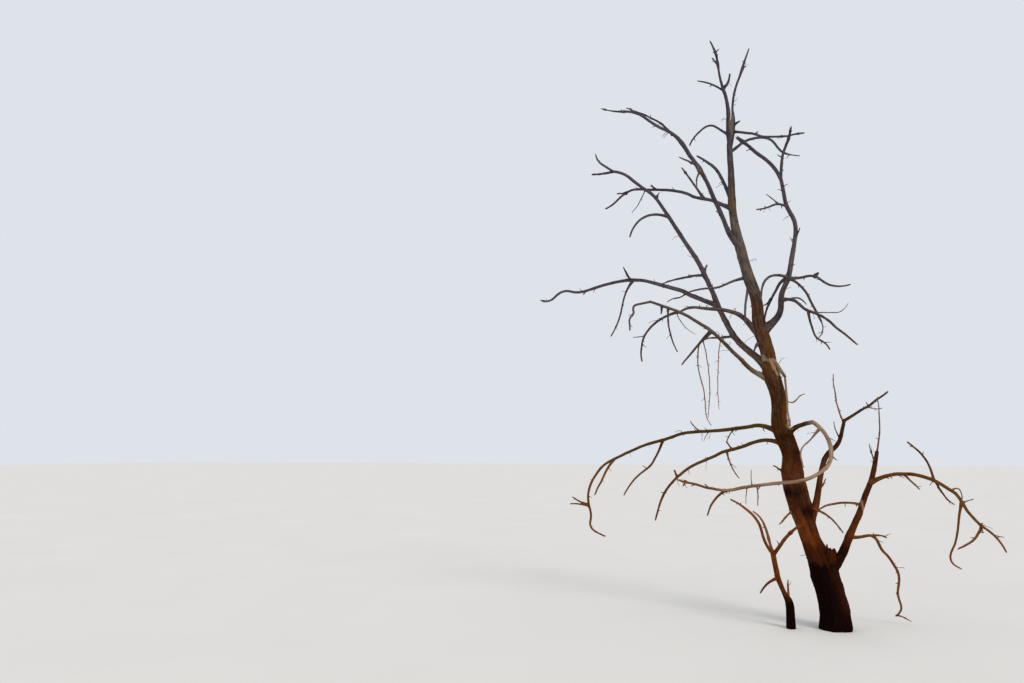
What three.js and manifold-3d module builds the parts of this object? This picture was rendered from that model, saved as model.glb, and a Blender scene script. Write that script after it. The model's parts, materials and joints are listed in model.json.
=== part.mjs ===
// A bare dead tree, built limb by limb: a leaning trunk that forks into two
// thin leaders, the boughs and arms that grow from it, and a shoot that rises
// beside its foot. Millimetres, +Z up, the foot of the trunk at the origin.
import * as THREE from 'three';
import Module from 'manifold-3d';

const wasm = await Module();
wasm.setup();

// ---- driving dimensions, millimetres and degrees ----
const RING_STEP = 118;       // spacing of the rings along a limb
const BEND_STEPS = 1;        // rings between two bends, at least
const CLEARANCE = 0.36;      // gap between a limb and the one it grows from
const FLARE_OUT = 8;         // how far the root flare stands out at the ground
const FLARE_HEIGHT = 62;     // height in which the flare dies down
const SHOOT_FLARE_OUT = 5;   // the same at the foot of the side shoot
const FLARE_LOBES = 5;       // swellings round the foot
const LOBE_DEPTH = 0.045;    // depth of the swellings, share of the radius
const TRUNK_SIDES = 13;
const BOUGH_SIDES = 7;       // boughs thicker than BOUGH_RADIUS at the base
const ARM_SIDES = 6;
const BOUGH_RADIUS = 19;
const SLIVER = 0.02;         // share of a limb that a cut may leave loose
const ROUNDED_TIP = 0.55;    // radius of the last ring of a broken end

// Each limb leaves `from` at the fraction `at` of its length. rise is the angle
// above level and bearing the compass angle from +X towards +Y, both at equal
// steps from base to tip; radius is given at equal steps too.
const LIMBS = [
  { name: 'trunk', from: null, foot: [0, 0], length: 4551,
    rise: [74, 75, 75, 69, 76, 76, 87, 64, 84, 74, 83, 73, 86, 71, 78, 80, 85, 87, 85, 85],
    bearing: [23, 158, 159, 168, 168, 173, 5, -178, -19, -168, -149, -167, -77, -172, -171, -177, 170, 47, 134, 81],
    radius: [121.4, 128.8, 123.4, 117.3, 100.1, 86.5, 86.5, 100.9, 104.2, 98.7, 82.4, 80.9, 74.7, 71, 73.4, 76.6, 65.4, 64.3, 62.2, 54.1, 54.8, 53.7, 51.7, 50.7, 46.4, 38.7, 37.2, 35.1, 31.7, 29.7, 27.2] },
  { name: 'leader_left', from: 'trunk', at: 0.995, length: 560,
    rise: [73, 78, 60],
    bearing: [-103, -66, -126],
    radius: [20.3, 18.8, 17.3, 15.9] },
  { name: 'leader_left_tip', from: 'leader_left', at: 0.995, length: 459,
    rise: [68, 78, 54],
    bearing: [-131, -100, -140],
    radius: [13.5, 12.5, 11.5, 11, 15.8, 10.6, 14.4, 9.6, 6.7] },
  { name: 'leader_left_arm', from: 'leader_left', at: 0.95, length: 365,
    rise: [43, 27],
    bearing: [150, 149],
    radius: [11.5, 10.8, 8] },
  { name: 'leader_right', from: 'trunk', at: 0.985, length: 1202,
    rise: [70, 80, 67, 66],
    bearing: [38, 108, 45, 46],
    radius: [17.4, 16, 15.1, 14.7, 13.8, 13.4, 12.9, 13, 18, 11.1, 7.6] },
  { name: 'crown_arch_left', from: 'leader_left', at: 0.195, length: 572,
    rise: [42, 42, -22, -50],
    bearing: [151, 148, 149, 139],
    radius: [12.6, 11.3, 11, 8.6] },
  { name: 'crown_arm_right', from: 'leader_right', at: 0.175, length: 914,
    rise: [-21, -30, -16, -14],
    bearing: [-35, -43, -41, -45],
    radius: [12.7, 10.8, 10, 7] },
  { name: 'crown_bough_right', from: 'trunk', at: 0.98, length: 907,
    rise: [36, 39, 19, 3, -43, -12, 6],
    bearing: [12, 52, 37, 38, 51, 41, 36],
    radius: [15.4, 12.7, 12.3, 11.4, 8] },
  { name: 'right_limb', from: 'trunk', at: 0.585, length: 1506,
    rise: [42, 32, 79, 54, 74, 71, 75, 54, 75, 70],
    bearing: [-6, -34, -79, -38, -51, -48, -56, -142, -109, -126],
    radius: [34.7, 28.4, 25, 22.6, 21.6, 18.8, 18.7, 17.8, 16.5] },
  { name: 'right_limb_tip', from: 'right_limb', at: 0.995, length: 459,
    rise: [69, 60, 34, 59],
    bearing: [-80, -72, -59, -72],
    radius: [14.2, 12.4, 10.5, 7.8] },
  { name: 'right_limb_return', from: 'right_limb', at: 0.99, length: 545,
    rise: [66, 30, 37],
    bearing: [-142, -147, -147],
    radius: [17.4, 16.5, 16, 15.5, 15] },
  { name: 'right_twig_left', from: 'right_limb', at: 0.825, length: 382,
    rise: [17, -25, -15],
    bearing: [-131, -132, -131],
    radius: [11.6, 10.1, 7.4] },
  { name: 'right_hook', from: 'right_limb', at: 0.39, length: 668,
    rise: [-3, -38, -40],
    bearing: [55, 66, 66],
    radius: [14, 12.8, 13, 11.3] },
  { name: 'right_arm_outer', from: 'right_limb', at: 0.39, length: 834,
    rise: [-13, -2, -35, -18, -0],
    bearing: [-38, -52, -56, -55, -54],
    radius: [14.4, 12.2, 10.9, 6.8] },
  { name: 'right_arch_inner', from: 'right_limb', at: 0.395, length: 529,
    rise: [12, -73],
    bearing: [-135, -85],
    radius: [13.1, 11.6, 10.6, 7.4] },
  { name: 'right_droop_inner', from: 'right_limb', at: 0.395, length: 514,
    rise: [-16, -32, -36, -44, -66],
    bearing: [174, 113, 129, 120, 111],
    radius: [13.6, 11.9, 11.2, 8] },
  { name: 'right_bough_low', from: 'right_limb', at: 0.25, length: 1053,
    rise: [6, -40, -23, -35, -36, -35],
    bearing: [-40, -50, -47, -52, -54, -56],
    radius: [15.5, 12.9, 12.1, 10.9, 9.4, 6.8] },
  { name: 'right_bough_low_fork', from: 'right_bough_low', at: 0.35, length: 409,
    rise: [-79, -66, -69, -18, -61],
    bearing: [80, 54, 55, 31, 47],
    radius: [10.9, 9.6, 8.7, 6.6] },
  { name: 'left_crown_bough', from: 'trunk', at: 0.775, length: 1973,
    rise: [38, 58, 58, 54, 49, 43, 15, 28, -10, 7],
    bearing: [-153, -117, -126, -125, -129, -131, -139, -135, -144, -139],
    radius: [25.5, 21.1, 21, 18.5, 17, 15.5, 13.6, 11.7, 9.8, 7.5] },
  { name: 'left_crown_inner', from: 'trunk', at: 0.865, length: 899,
    rise: [73, 54, 53, 39, 35],
    bearing: [163, 118, 129, 134, 138],
    radius: [18.2, 16.2, 15.1, 10.3] },
  { name: 'left_upper_bough', from: 'trunk', at: 0.855, length: 2088,
    rise: [29, 30, 21, 30, 25, 19, 15, 19, -5, -20, -4],
    bearing: [162, 128, 143, 137, 142, 143, 145, 145, 144, 141, 145],
    radius: [19.1, 17.3, 16.4, 15.9, 14.8, 13.6, 10.5] },
  { name: 'left_upper_twig', from: 'left_upper_bough', at: 0.21, length: 376,
    rise: [56, 50],
    bearing: [-149, -144],
    radius: [14, 12.5, 9] },
  { name: 'left_long_bough', from: 'trunk', at: 0.505, length: 2974,
    rise: [54, 38, 54, 67, 67, 64, 58, 58, 58, 59, 38, 44, 15],
    bearing: [-175, 154, 157, 149, 151, 153, 156, 157, 158, 158, 163, 162, 166],
    radius: [32.4, 29.7, 26.8, 25.4, 23.8, 22.3, 20.6, 18.3, 17.1, 16.3, 14.9] },
  { name: 'left_long_tip_up', from: 'left_long_bough', at: 0.995, length: 276,
    rise: [36, 31, 81],
    bearing: [-164, -156, -124],
    radius: [13.3, 11.6, 8.3] },
  { name: 'left_long_droop', from: 'left_long_bough', at: 0.68, length: 610,
    rise: [10, -67],
    bearing: [-138, -112],
    radius: [14.1, 12.4, 8.6] },
  { name: 'left_far_bough', from: 'left_long_bough', at: 0.29, length: 2496,
    rise: [21, 28, 26, 20, 22, 6, 1, -6, -5, 16, -34, 24],
    bearing: [155, 149, 152, 153, 154, 156, 157, 156, 157, 160, 155, 159],
    radius: [23.4, 22.1, 20.6, 19, 17.9, 16.7, 15.4, 13.4, 10.8] },
  { name: 'left_far_droop', from: 'left_far_bough', at: 0.46, length: 677,
    rise: [-42, -70, -47],
    bearing: [153, 135, 151],
    radius: [14.6, 12.5, 12.1, 8.9] },
  { name: 'left_mid_arm', from: 'trunk', at: 0.705, length: 789,
    rise: [-10, -18, -26, -6, -14, -21],
    bearing: [179, -116, -129, -127, -127, -123],
    radius: [13.6, 11.5, 10.4, 7.6] },
  { name: 'trunk_droop_mid', from: 'trunk', at: 0.7, length: 459,
    rise: [-77, -58, -72],
    bearing: [-146, -98, -93],
    radius: [13.1, 11.5, 8.2] },
  { name: 'left_knee_bough', from: 'trunk', at: 0.575, length: 1096,
    rise: [47, 28, 8, -4, 0, -30],
    bearing: [170, -112, -130, -129, -127, -123],
    radius: [27.9, 23.9, 19, 15.6, 13.2, 10] },
  { name: 'left_low_bough', from: 'trunk', at: 0.485, length: 1649,
    rise: [26, 17, 36, 29, 28, 18, 15, 8, 8],
    bearing: [165, -120, -124, -121, -122, -124, -124, -125, -124],
    radius: [23.1, 20.5, 17.5, 15.9, 14.8, 13.7, 11.8, 10.4] },
  { name: 'left_low_bough_tip', from: 'left_low_bough', at: 0.995, length: 383,
    rise: [-10, -16, -13, -66, -36, -78, -74],
    bearing: [-154, -142, -151, -23, -144, -37, -82],
    radius: [10.4, 9.5, 8.7, 6.5] },
  { name: 'left_low_droop', from: 'left_low_bough', at: 0.79, length: 638,
    rise: [-1, -36, -78],
    bearing: [157, 155, 30],
    radius: [12, 11.3, 10.6, 7.6] },
  { name: 'left_low_hanger', from: 'left_low_bough', at: 0.535, length: 469,
    rise: [-30, -36],
    bearing: [141, 140],
    radius: [12.8, 12.1, 10.9, 7.8] },
  { name: 'left_middle_bough', from: 'trunk', at: 0.38, length: 2256,
    rise: [24, 10, -8, -4, -2, 0, -2, -14, -10, -12, -17, -16],
    bearing: [-172, 127, 142, 138, 142, 143, 144, 142, 144, 145, 145, 145],
    radius: [21, 18.1, 17.3, 16.4, 16.5, 16.5, 15.9] },
  { name: 'left_middle_droop', from: 'left_middle_bough', at: 0.995, length: 1288,
    rise: [-27, -22, -30, -44, -56, -71, -85, -72, -73, -34, -18],
    bearing: [171, 168, 169, 167, 166, 162, 96, 20, 173, 13, 12],
    radius: [15.9, 14.9, 14.5, 14, 13.3, 9.3] },
  { name: 'left_middle_fork', from: 'left_middle_droop', at: 0.135, length: 464,
    rise: [-51, -60],
    bearing: [-135, -123],
    radius: [13.8, 12.5, 9] },
  { name: 'left_middle_hanger', from: 'left_middle_bough', at: 0.72, length: 852,
    rise: [-60, -58, -28, -43, -55],
    bearing: [146, 147, 155, 153, 150],
    radius: [14, 13.1, 12.2, 9] },
  { name: 'left_drooping_bough', from: 'trunk', at: 0.35, length: 1763,
    rise: [35, 4, -25, -12, -21, -22, -34, -47, -65, -73],
    bearing: [-177, 153, 159, 158, 159, 159, 158, 156, 151, 144],
    radius: [20, 17.1, 16, 15.3, 14.5, 13.7, 12.9, 11.6, 8.6] },
  { name: 'curl_rise', from: 'trunk', at: 0.365, length: 411,
    rise: [56, 13, 5],
    bearing: [-39, -52, -46],
    radius: [22.7, 20.6, 18.5, 17.8] },
  { name: 'curl_bend', from: 'curl_rise', at: 0.995, length: 510,
    rise: [-25, -60, -47],
    bearing: [-45, -54, -143],
    radius: [17.4, 16.4, 16.2, 17.4, 18.5, 17.5, 16.6] },
  { name: 'curl_return', from: 'curl_bend', at: 0.995, length: 743,
    rise: [-41, -1, -11],
    bearing: [-161, -164, -164],
    radius: [16.6, 16.2, 15.7, 15.3, 14.5, 13.7, 13.3, 12.9] },
  { name: 'curl_tip', from: 'curl_return', at: 0.995, length: 550,
    rise: [-16, 16, 14],
    bearing: [-152, -148, -148],
    radius: [12.9, 12, 11.2, 9.9, 7] },
  { name: 'curl_tip_droop', from: 'curl_tip', at: 0.235, length: 297,
    rise: [-25, -69],
    bearing: [153, 139],
    radius: [11.6, 10.9, 7.2] },
  { name: 'curl_fork', from: 'curl_bend', at: 0.19, length: 123,
    rise: [-48, -47],
    bearing: [154, 152],
    radius: [12, 10.3, 6.9] },
  { name: 'side_stem', from: 'trunk', at: 0.19, length: 1092,
    rise: [65, 59, 74, 72, 67, 31, 70, 69],
    bearing: [-7, 45, 52, 53, 45, 31, 47, 45],
    radius: [33.2, 30.3, 27.8, 26.2, 23.6, 21.9, 18.3, 15.7] },
  { name: 'side_stem_arm', from: 'side_stem', at: 0.995, length: 614,
    rise: [24, 30],
    bearing: [43, 43],
    radius: [14.7, 13, 11.3, 8.1] },
  { name: 'right_low_bough', from: 'trunk', at: 0.1, length: 1224,
    rise: [36, 63, 59, 63, 73],
    bearing: [10, -43, -44, -47, -59],
    radius: [41.6, 35.3, 31.7, 29, 26.7, 24.4, 22.6, 20.8, 14.9] },
  { name: 'right_low_arm', from: 'right_low_bough', at: 0.78, length: 1440,
    rise: [22, 10, -11, -23, -49, -22, -46],
    bearing: [-40, -43, -45, -53, -67, -57, -72],
    radius: [18, 15.5, 14.4, 13.6, 12.5, 11.4, 10, 8.4, 5.8] },
  { name: 'right_low_arm_hook', from: 'right_low_arm', at: 0.81, length: 241,
    rise: [-65, -19],
    bearing: [-155, -161],
    radius: [9.2, 8.1, 5.7] },
  { name: 'right_low_arm_hanger', from: 'right_low_arm', at: 0.635, length: 583,
    rise: [-69, -69, -62, -18],
    bearing: [131, 96, 149, 27],
    radius: [10, 9.3, 8.6, 7.9, 6] },
  { name: 'right_low_arm_spray', from: 'right_low_arm', at: 0.425, length: 410,
    rise: [69, 25],
    bearing: [-114, -139],
    radius: [9.6, 8.4, 6.1] },
  { name: 'right_low_twig_left', from: 'right_low_bough', at: 0.6, length: 547,
    rise: [13, -15],
    bearing: [-130, -127],
    radius: [11.4, 10, 9.1, 6.5] },
  { name: 'right_foot_arm', from: 'right_low_bough', at: 0.34, length: 1102,
    rise: [-9, 12, -60, -40, -59, -71, -63, -34],
    bearing: [24, 35, 51, 43, 51, 132, 47, 148],
    radius: [13.7, 12.1, 12.1, 11.3, 10.9, 10.1, 7.5] },
  { name: 'base_shoot', from: null, foot: [-336, -100], length: 641,
    rise: [86, 86, 86, 61, 66, 69, 79, 80, 81],
    bearing: [65, 83, 99, 163, 162, 160, 152, 148, 145],
    radius: [36.9, 37, 36.7, 35.9, 23.4, 19.2, 20.5, 22.8, 22.8, 22.9, 22.9] },
  { name: 'base_shoot_fork_left', from: 'base_shoot', at: 0.985, length: 701,
    rise: [42, 65, 37, 22],
    bearing: [-132, -112, -132, -136],
    radius: [15, 13.2, 12.2, 11.3, 9.9, 7.3] },
  { name: 'base_shoot_fork_right', from: 'base_shoot', at: 0.97, length: 460,
    rise: [47, 30],
    bearing: [-48, -51],
    radius: [17.2, 15.7, 13.7, 9.3] },
  { name: 'base_shoot_arm', from: 'base_shoot', at: 0.67, length: 213,
    rise: [-14, -50],
    bearing: [-150, -136],
    radius: [11.4, 10.5, 7.4] },
  { name: 'crotch_stub', from: 'trunk', at: 0.085, length: 263,
    rise: [80, 81],
    bearing: [0, 0],
    radius: [65.2, 64.4, 59.2] },
  { name: 'trunk_stub', from: 'trunk', at: 0.55, length: 313,
    rise: [-59, -52],
    bearing: [-1, -39],
    radius: [23, 21.1, 17.8, 11.8] },
];

const COLOURS = {
  foot: 0x2a1c14, warm: 0x5b4130, grey: 0x6a5a4c, thin: 0x54453a, pale: 0xcdb795,
};
const PALE = new Set(['curl_bend', 'curl_return']);
const WARM = new Set(['trunk', 'side_stem', 'curl_rise', 'right_low_bough', 'crotch_stub']);

// ---- centrelines ----
const rad = THREE.MathUtils.degToRad;
function heading(rise, bearing) {
  const e = rad(rise), b = rad(bearing);
  return new THREE.Vector3(Math.cos(e) * Math.cos(b), Math.cos(e) * Math.sin(b), Math.sin(e));
}

function mix(list, t) {
  const x = Math.min(Math.max(t, 0), 1) * (list.length - 1);
  const i = Math.min(Math.floor(x), list.length - 2);
  return list[i] + (list[i + 1] - list[i]) * (x - i);
}

function centreline(limb, start) {
  const headings = limb.rise.map((rise, i) => heading(rise, limb.bearing[i]));
  const last = headings.length - 1;
  const steps = Math.max(BEND_STEPS * last, Math.ceil(limb.length / RING_STEP));
  const fine = 6;                       // finer walk between two rings
  const points = [start.clone()];
  const at = start.clone();
  for (let k = 0; k < steps * fine; k++) {
    const x = (k + 0.5) / (steps * fine) * last;
    const i = Math.min(Math.floor(x), last - 1);
    const dir = headings[i].clone().lerp(headings[i + 1], x - i).normalize();
    at.addScaledVector(dir, limb.length / (steps * fine));
    if ((k + 1) % fine === 0) points.push(at.clone());
  }
  return points;
}

function pointAlong(points, t) {
  const x = t * (points.length - 1);
  const i = Math.min(Math.floor(x), points.length - 2);
  return points[i].clone().lerp(points[i + 1], x - i);
}

// ---- one limb as a closed, tapering tube ----
function flare(limb, height) {
  if (limb.from) return 0;
  const out = limb.name === 'trunk' ? FLARE_OUT : SHOOT_FLARE_OUT;
  return out * Math.exp(-height / FLARE_HEIGHT);
}

function tube(limb, points, grow) {
  const n = limb.name === 'trunk' ? TRUNK_SIDES : limb.radius[0] > BOUGH_RADIUS ? BOUGH_SIDES : ARM_SIDES;
  const rings = points.length;
  const tangents = points.map((p, i) => {
    const a = points[Math.max(i - 1, 0)], b = points[Math.min(i + 1, rings - 1)];
    return b.clone().sub(a).normalize();
  });
  if (!limb.from) tangents[0].set(0, 0, 1);      // cut flat at the ground
  let side = new THREE.Vector3(0, 0, 1);
  if (Math.abs(tangents[0].z) > 0.9) side.set(0, -1, 0);
  side.addScaledVector(tangents[0], -side.dot(tangents[0])).normalize();
  const position = [], index = [];
  for (let i = 0; i < rings; i++) {
    if (i > 0) {                                  // carry the frame along without twist
      const turn = new THREE.Quaternion().setFromUnitVectors(tangents[i - 1], tangents[i]);
      side.applyQuaternion(turn);
      side.addScaledVector(tangents[i], -side.dot(tangents[i])).normalize();
    }
    const other = tangents[i].clone().cross(side);
    const t = i / (rings - 1);
    const height = points[i].z;
    let r = mix(limb.radius, t);
    if (i === rings - 1) r *= limb.ends ? 1 : ROUNDED_TIP;
    const lobes = limb.name === 'trunk' ? LOBE_DEPTH * Math.exp(-height / (6 * FLARE_HEIGHT)) : 0;
    for (let k = 0; k < n; k++) {
      const a = 2 * Math.PI * k / n;
      const rr = (r + flare(limb, height)) * (1 + lobes * Math.cos(FLARE_LOBES * a + 0.7)) + grow;
      const p = points[i].clone()
        .addScaledVector(side, rr * Math.cos(a))
        .addScaledVector(other, rr * Math.sin(a));
      position.push(p.x, p.y, p.z);
    }
  }
  const push = (a, b, c) => index.push(a, b, c);
  for (let i = 0; i < rings - 1; i++) {
    for (let k = 0; k < n; k++) {
      const a = i * n + k, b = i * n + (k + 1) % n, c = a + n, d = b + n;
      push(a, b, d);
      push(a, d, c);
    }
  }
  const base = points[0].clone().addScaledVector(tangents[0], limb.from ? -grow : 0);
  const tip = points[rings - 1].clone().addScaledVector(tangents[rings - 1], grow);
  const b0 = position.length / 3;
  position.push(base.x, base.y, base.z);
  const b1 = b0 + 1;
  position.push(tip.x, tip.y, tip.z);
  const end = (rings - 1) * n;
  for (let k = 0; k < n; k++) {
    push(b0, (k + 1) % n, k);
    push(b1, end + k, end + (k + 1) % n);
  }
  return { position, index };
}

function solid({ position, index }, origin) {
  const moved = new Float32Array(position.length);
  for (let i = 0; i < position.length; i += 3) {
    moved[i] = position[i] - origin.x;
    moved[i + 1] = position[i + 1] - origin.y;
    moved[i + 2] = position[i + 2] - origin.z;
  }
  return new wasm.Manifold(new wasm.Mesh({
    numProp: 3, vertProperties: moved, triVerts: new Uint32Array(index),
  }));
}

// a cut through a slanting joint can leave slivers beside the limb itself
function mainPiece(body, name) {
  const pieces = body.decompose().sort((a, b) => b.volume() - a.volume());
  const whole = pieces.reduce((sum, piece) => sum + piece.volume(), 0);
  if (pieces[0].volume() < (1 - SLIVER) * whole) {
    throw new Error(`${name} is cut apart: ${pieces.map((piece) => piece.volume().toFixed(0))}`);
  }
  return pieces[0];
}

function boxOf(position, pad) {
  const box = new THREE.Box3();
  const p = new THREE.Vector3();
  for (let i = 0; i < position.length; i += 3) {
    box.expandByPoint(p.set(position[i], position[i + 1], position[i + 2]));
  }
  return box.expandByScalar(pad);
}

function geometryOf(manifold) {
  const mesh = manifold.getMesh();
  const vertices = new Float32Array(mesh.vertProperties.length / mesh.numProp * 3);
  for (let i = 0; i < vertices.length / 3; i++) {
    for (let k = 0; k < 3; k++) vertices[3 * i + k] = mesh.vertProperties[i * mesh.numProp + k];
  }
  const geometry = new THREE.BufferGeometry();
  geometry.setAttribute('position', new THREE.BufferAttribute(vertices, 3));
  geometry.setIndex(Array.from(mesh.triVerts));
  geometry.computeVertexNormals();
  return geometry;
}

// ---- the whole tree ----
const tree = new THREE.Group();
tree.name = 'dead_tree';
const built = new Map();
for (const limb of LIMBS) {
  const parent = limb.from ? built.get(limb.from) : null;
  const start = parent ? pointAlong(parent.points, limb.at) : new THREE.Vector3(limb.foot[0], limb.foot[1], 0);
  limb.ends = LIMBS.some((other) => other.from === limb.name && other.at > 0.95);
  const points = centreline(limb, start);
  const skin = tube(limb, points, 0);
  const box = boxOf(skin.position, 0.5);
  let body = solid(skin, start);
  // cut away what lies inside the limbs already built, and leave the clearance
  for (const other of built.values()) {
    if (!box.intersectsBox(other.box)) continue;
    body = body.subtract(solid(tube(other.limb, other.points, CLEARANCE), start));
  }
  body = mainPiece(body, limb.name);
  const colour = limb.name.startsWith('base_shoot') ? COLOURS.foot : PALE.has(limb.name) ? COLOURS.pale
    : WARM.has(limb.name) ? COLOURS.warm : limb.radius[0] > BOUGH_RADIUS ? COLOURS.grey : COLOURS.thin;
  const mesh = new THREE.Mesh(geometryOf(body),
    new THREE.MeshStandardMaterial({ color: colour, roughness: 0.92, metalness: 0 }));
  mesh.name = limb.name;
  const joint = new THREE.Group();         // the joint sits on its parent limb's joint
  joint.position.copy(start);
  if (parent) joint.position.sub(parent.start);
  joint.add(mesh);
  (parent ? parent.joint : tree).add(joint);
  built.set(limb.name, { limb, points, start, box, joint });
}

export default tree;
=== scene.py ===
import bpy, json, math
import numpy as np
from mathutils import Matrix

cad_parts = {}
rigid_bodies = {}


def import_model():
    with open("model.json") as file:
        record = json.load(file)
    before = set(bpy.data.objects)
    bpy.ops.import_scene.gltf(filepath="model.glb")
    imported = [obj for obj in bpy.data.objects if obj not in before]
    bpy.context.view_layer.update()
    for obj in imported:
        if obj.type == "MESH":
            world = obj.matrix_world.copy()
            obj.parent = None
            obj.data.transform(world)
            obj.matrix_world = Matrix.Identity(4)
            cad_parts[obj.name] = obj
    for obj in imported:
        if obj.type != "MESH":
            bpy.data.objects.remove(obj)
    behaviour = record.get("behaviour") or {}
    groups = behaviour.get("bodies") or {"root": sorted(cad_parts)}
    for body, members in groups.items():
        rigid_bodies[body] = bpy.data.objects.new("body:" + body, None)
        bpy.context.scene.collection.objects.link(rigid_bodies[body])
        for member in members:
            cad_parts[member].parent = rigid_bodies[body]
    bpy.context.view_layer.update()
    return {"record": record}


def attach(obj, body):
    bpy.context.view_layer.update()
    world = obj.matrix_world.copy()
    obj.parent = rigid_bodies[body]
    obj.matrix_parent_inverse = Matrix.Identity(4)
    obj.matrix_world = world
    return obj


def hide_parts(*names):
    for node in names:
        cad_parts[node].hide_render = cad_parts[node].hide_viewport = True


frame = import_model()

SEED = 4127

# ---- sizes shared with the model's limbs, metres and degrees ----
RING_STEP = 0.118            # spacing of the limbs' stations
BEND_STEPS = 1
FLARE_OUT, SHOOT_FLARE_OUT, FLARE_HEIGHT = 0.008, 0.005, 0.062
FLARE_LOBES, LOBE_DEPTH = 5, 0.045
FINE = 6                     # walk between two stations

# ---- sizes of the bark and the twigs ----
TRUNK_SIDES = 132
MESH_STEP = 0.0075           # ring spacing on boughs
TRUNK_STEP = 0.0088
COLLAR = 0.42                # swelling where a limb leaves another, share of its radius

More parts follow.
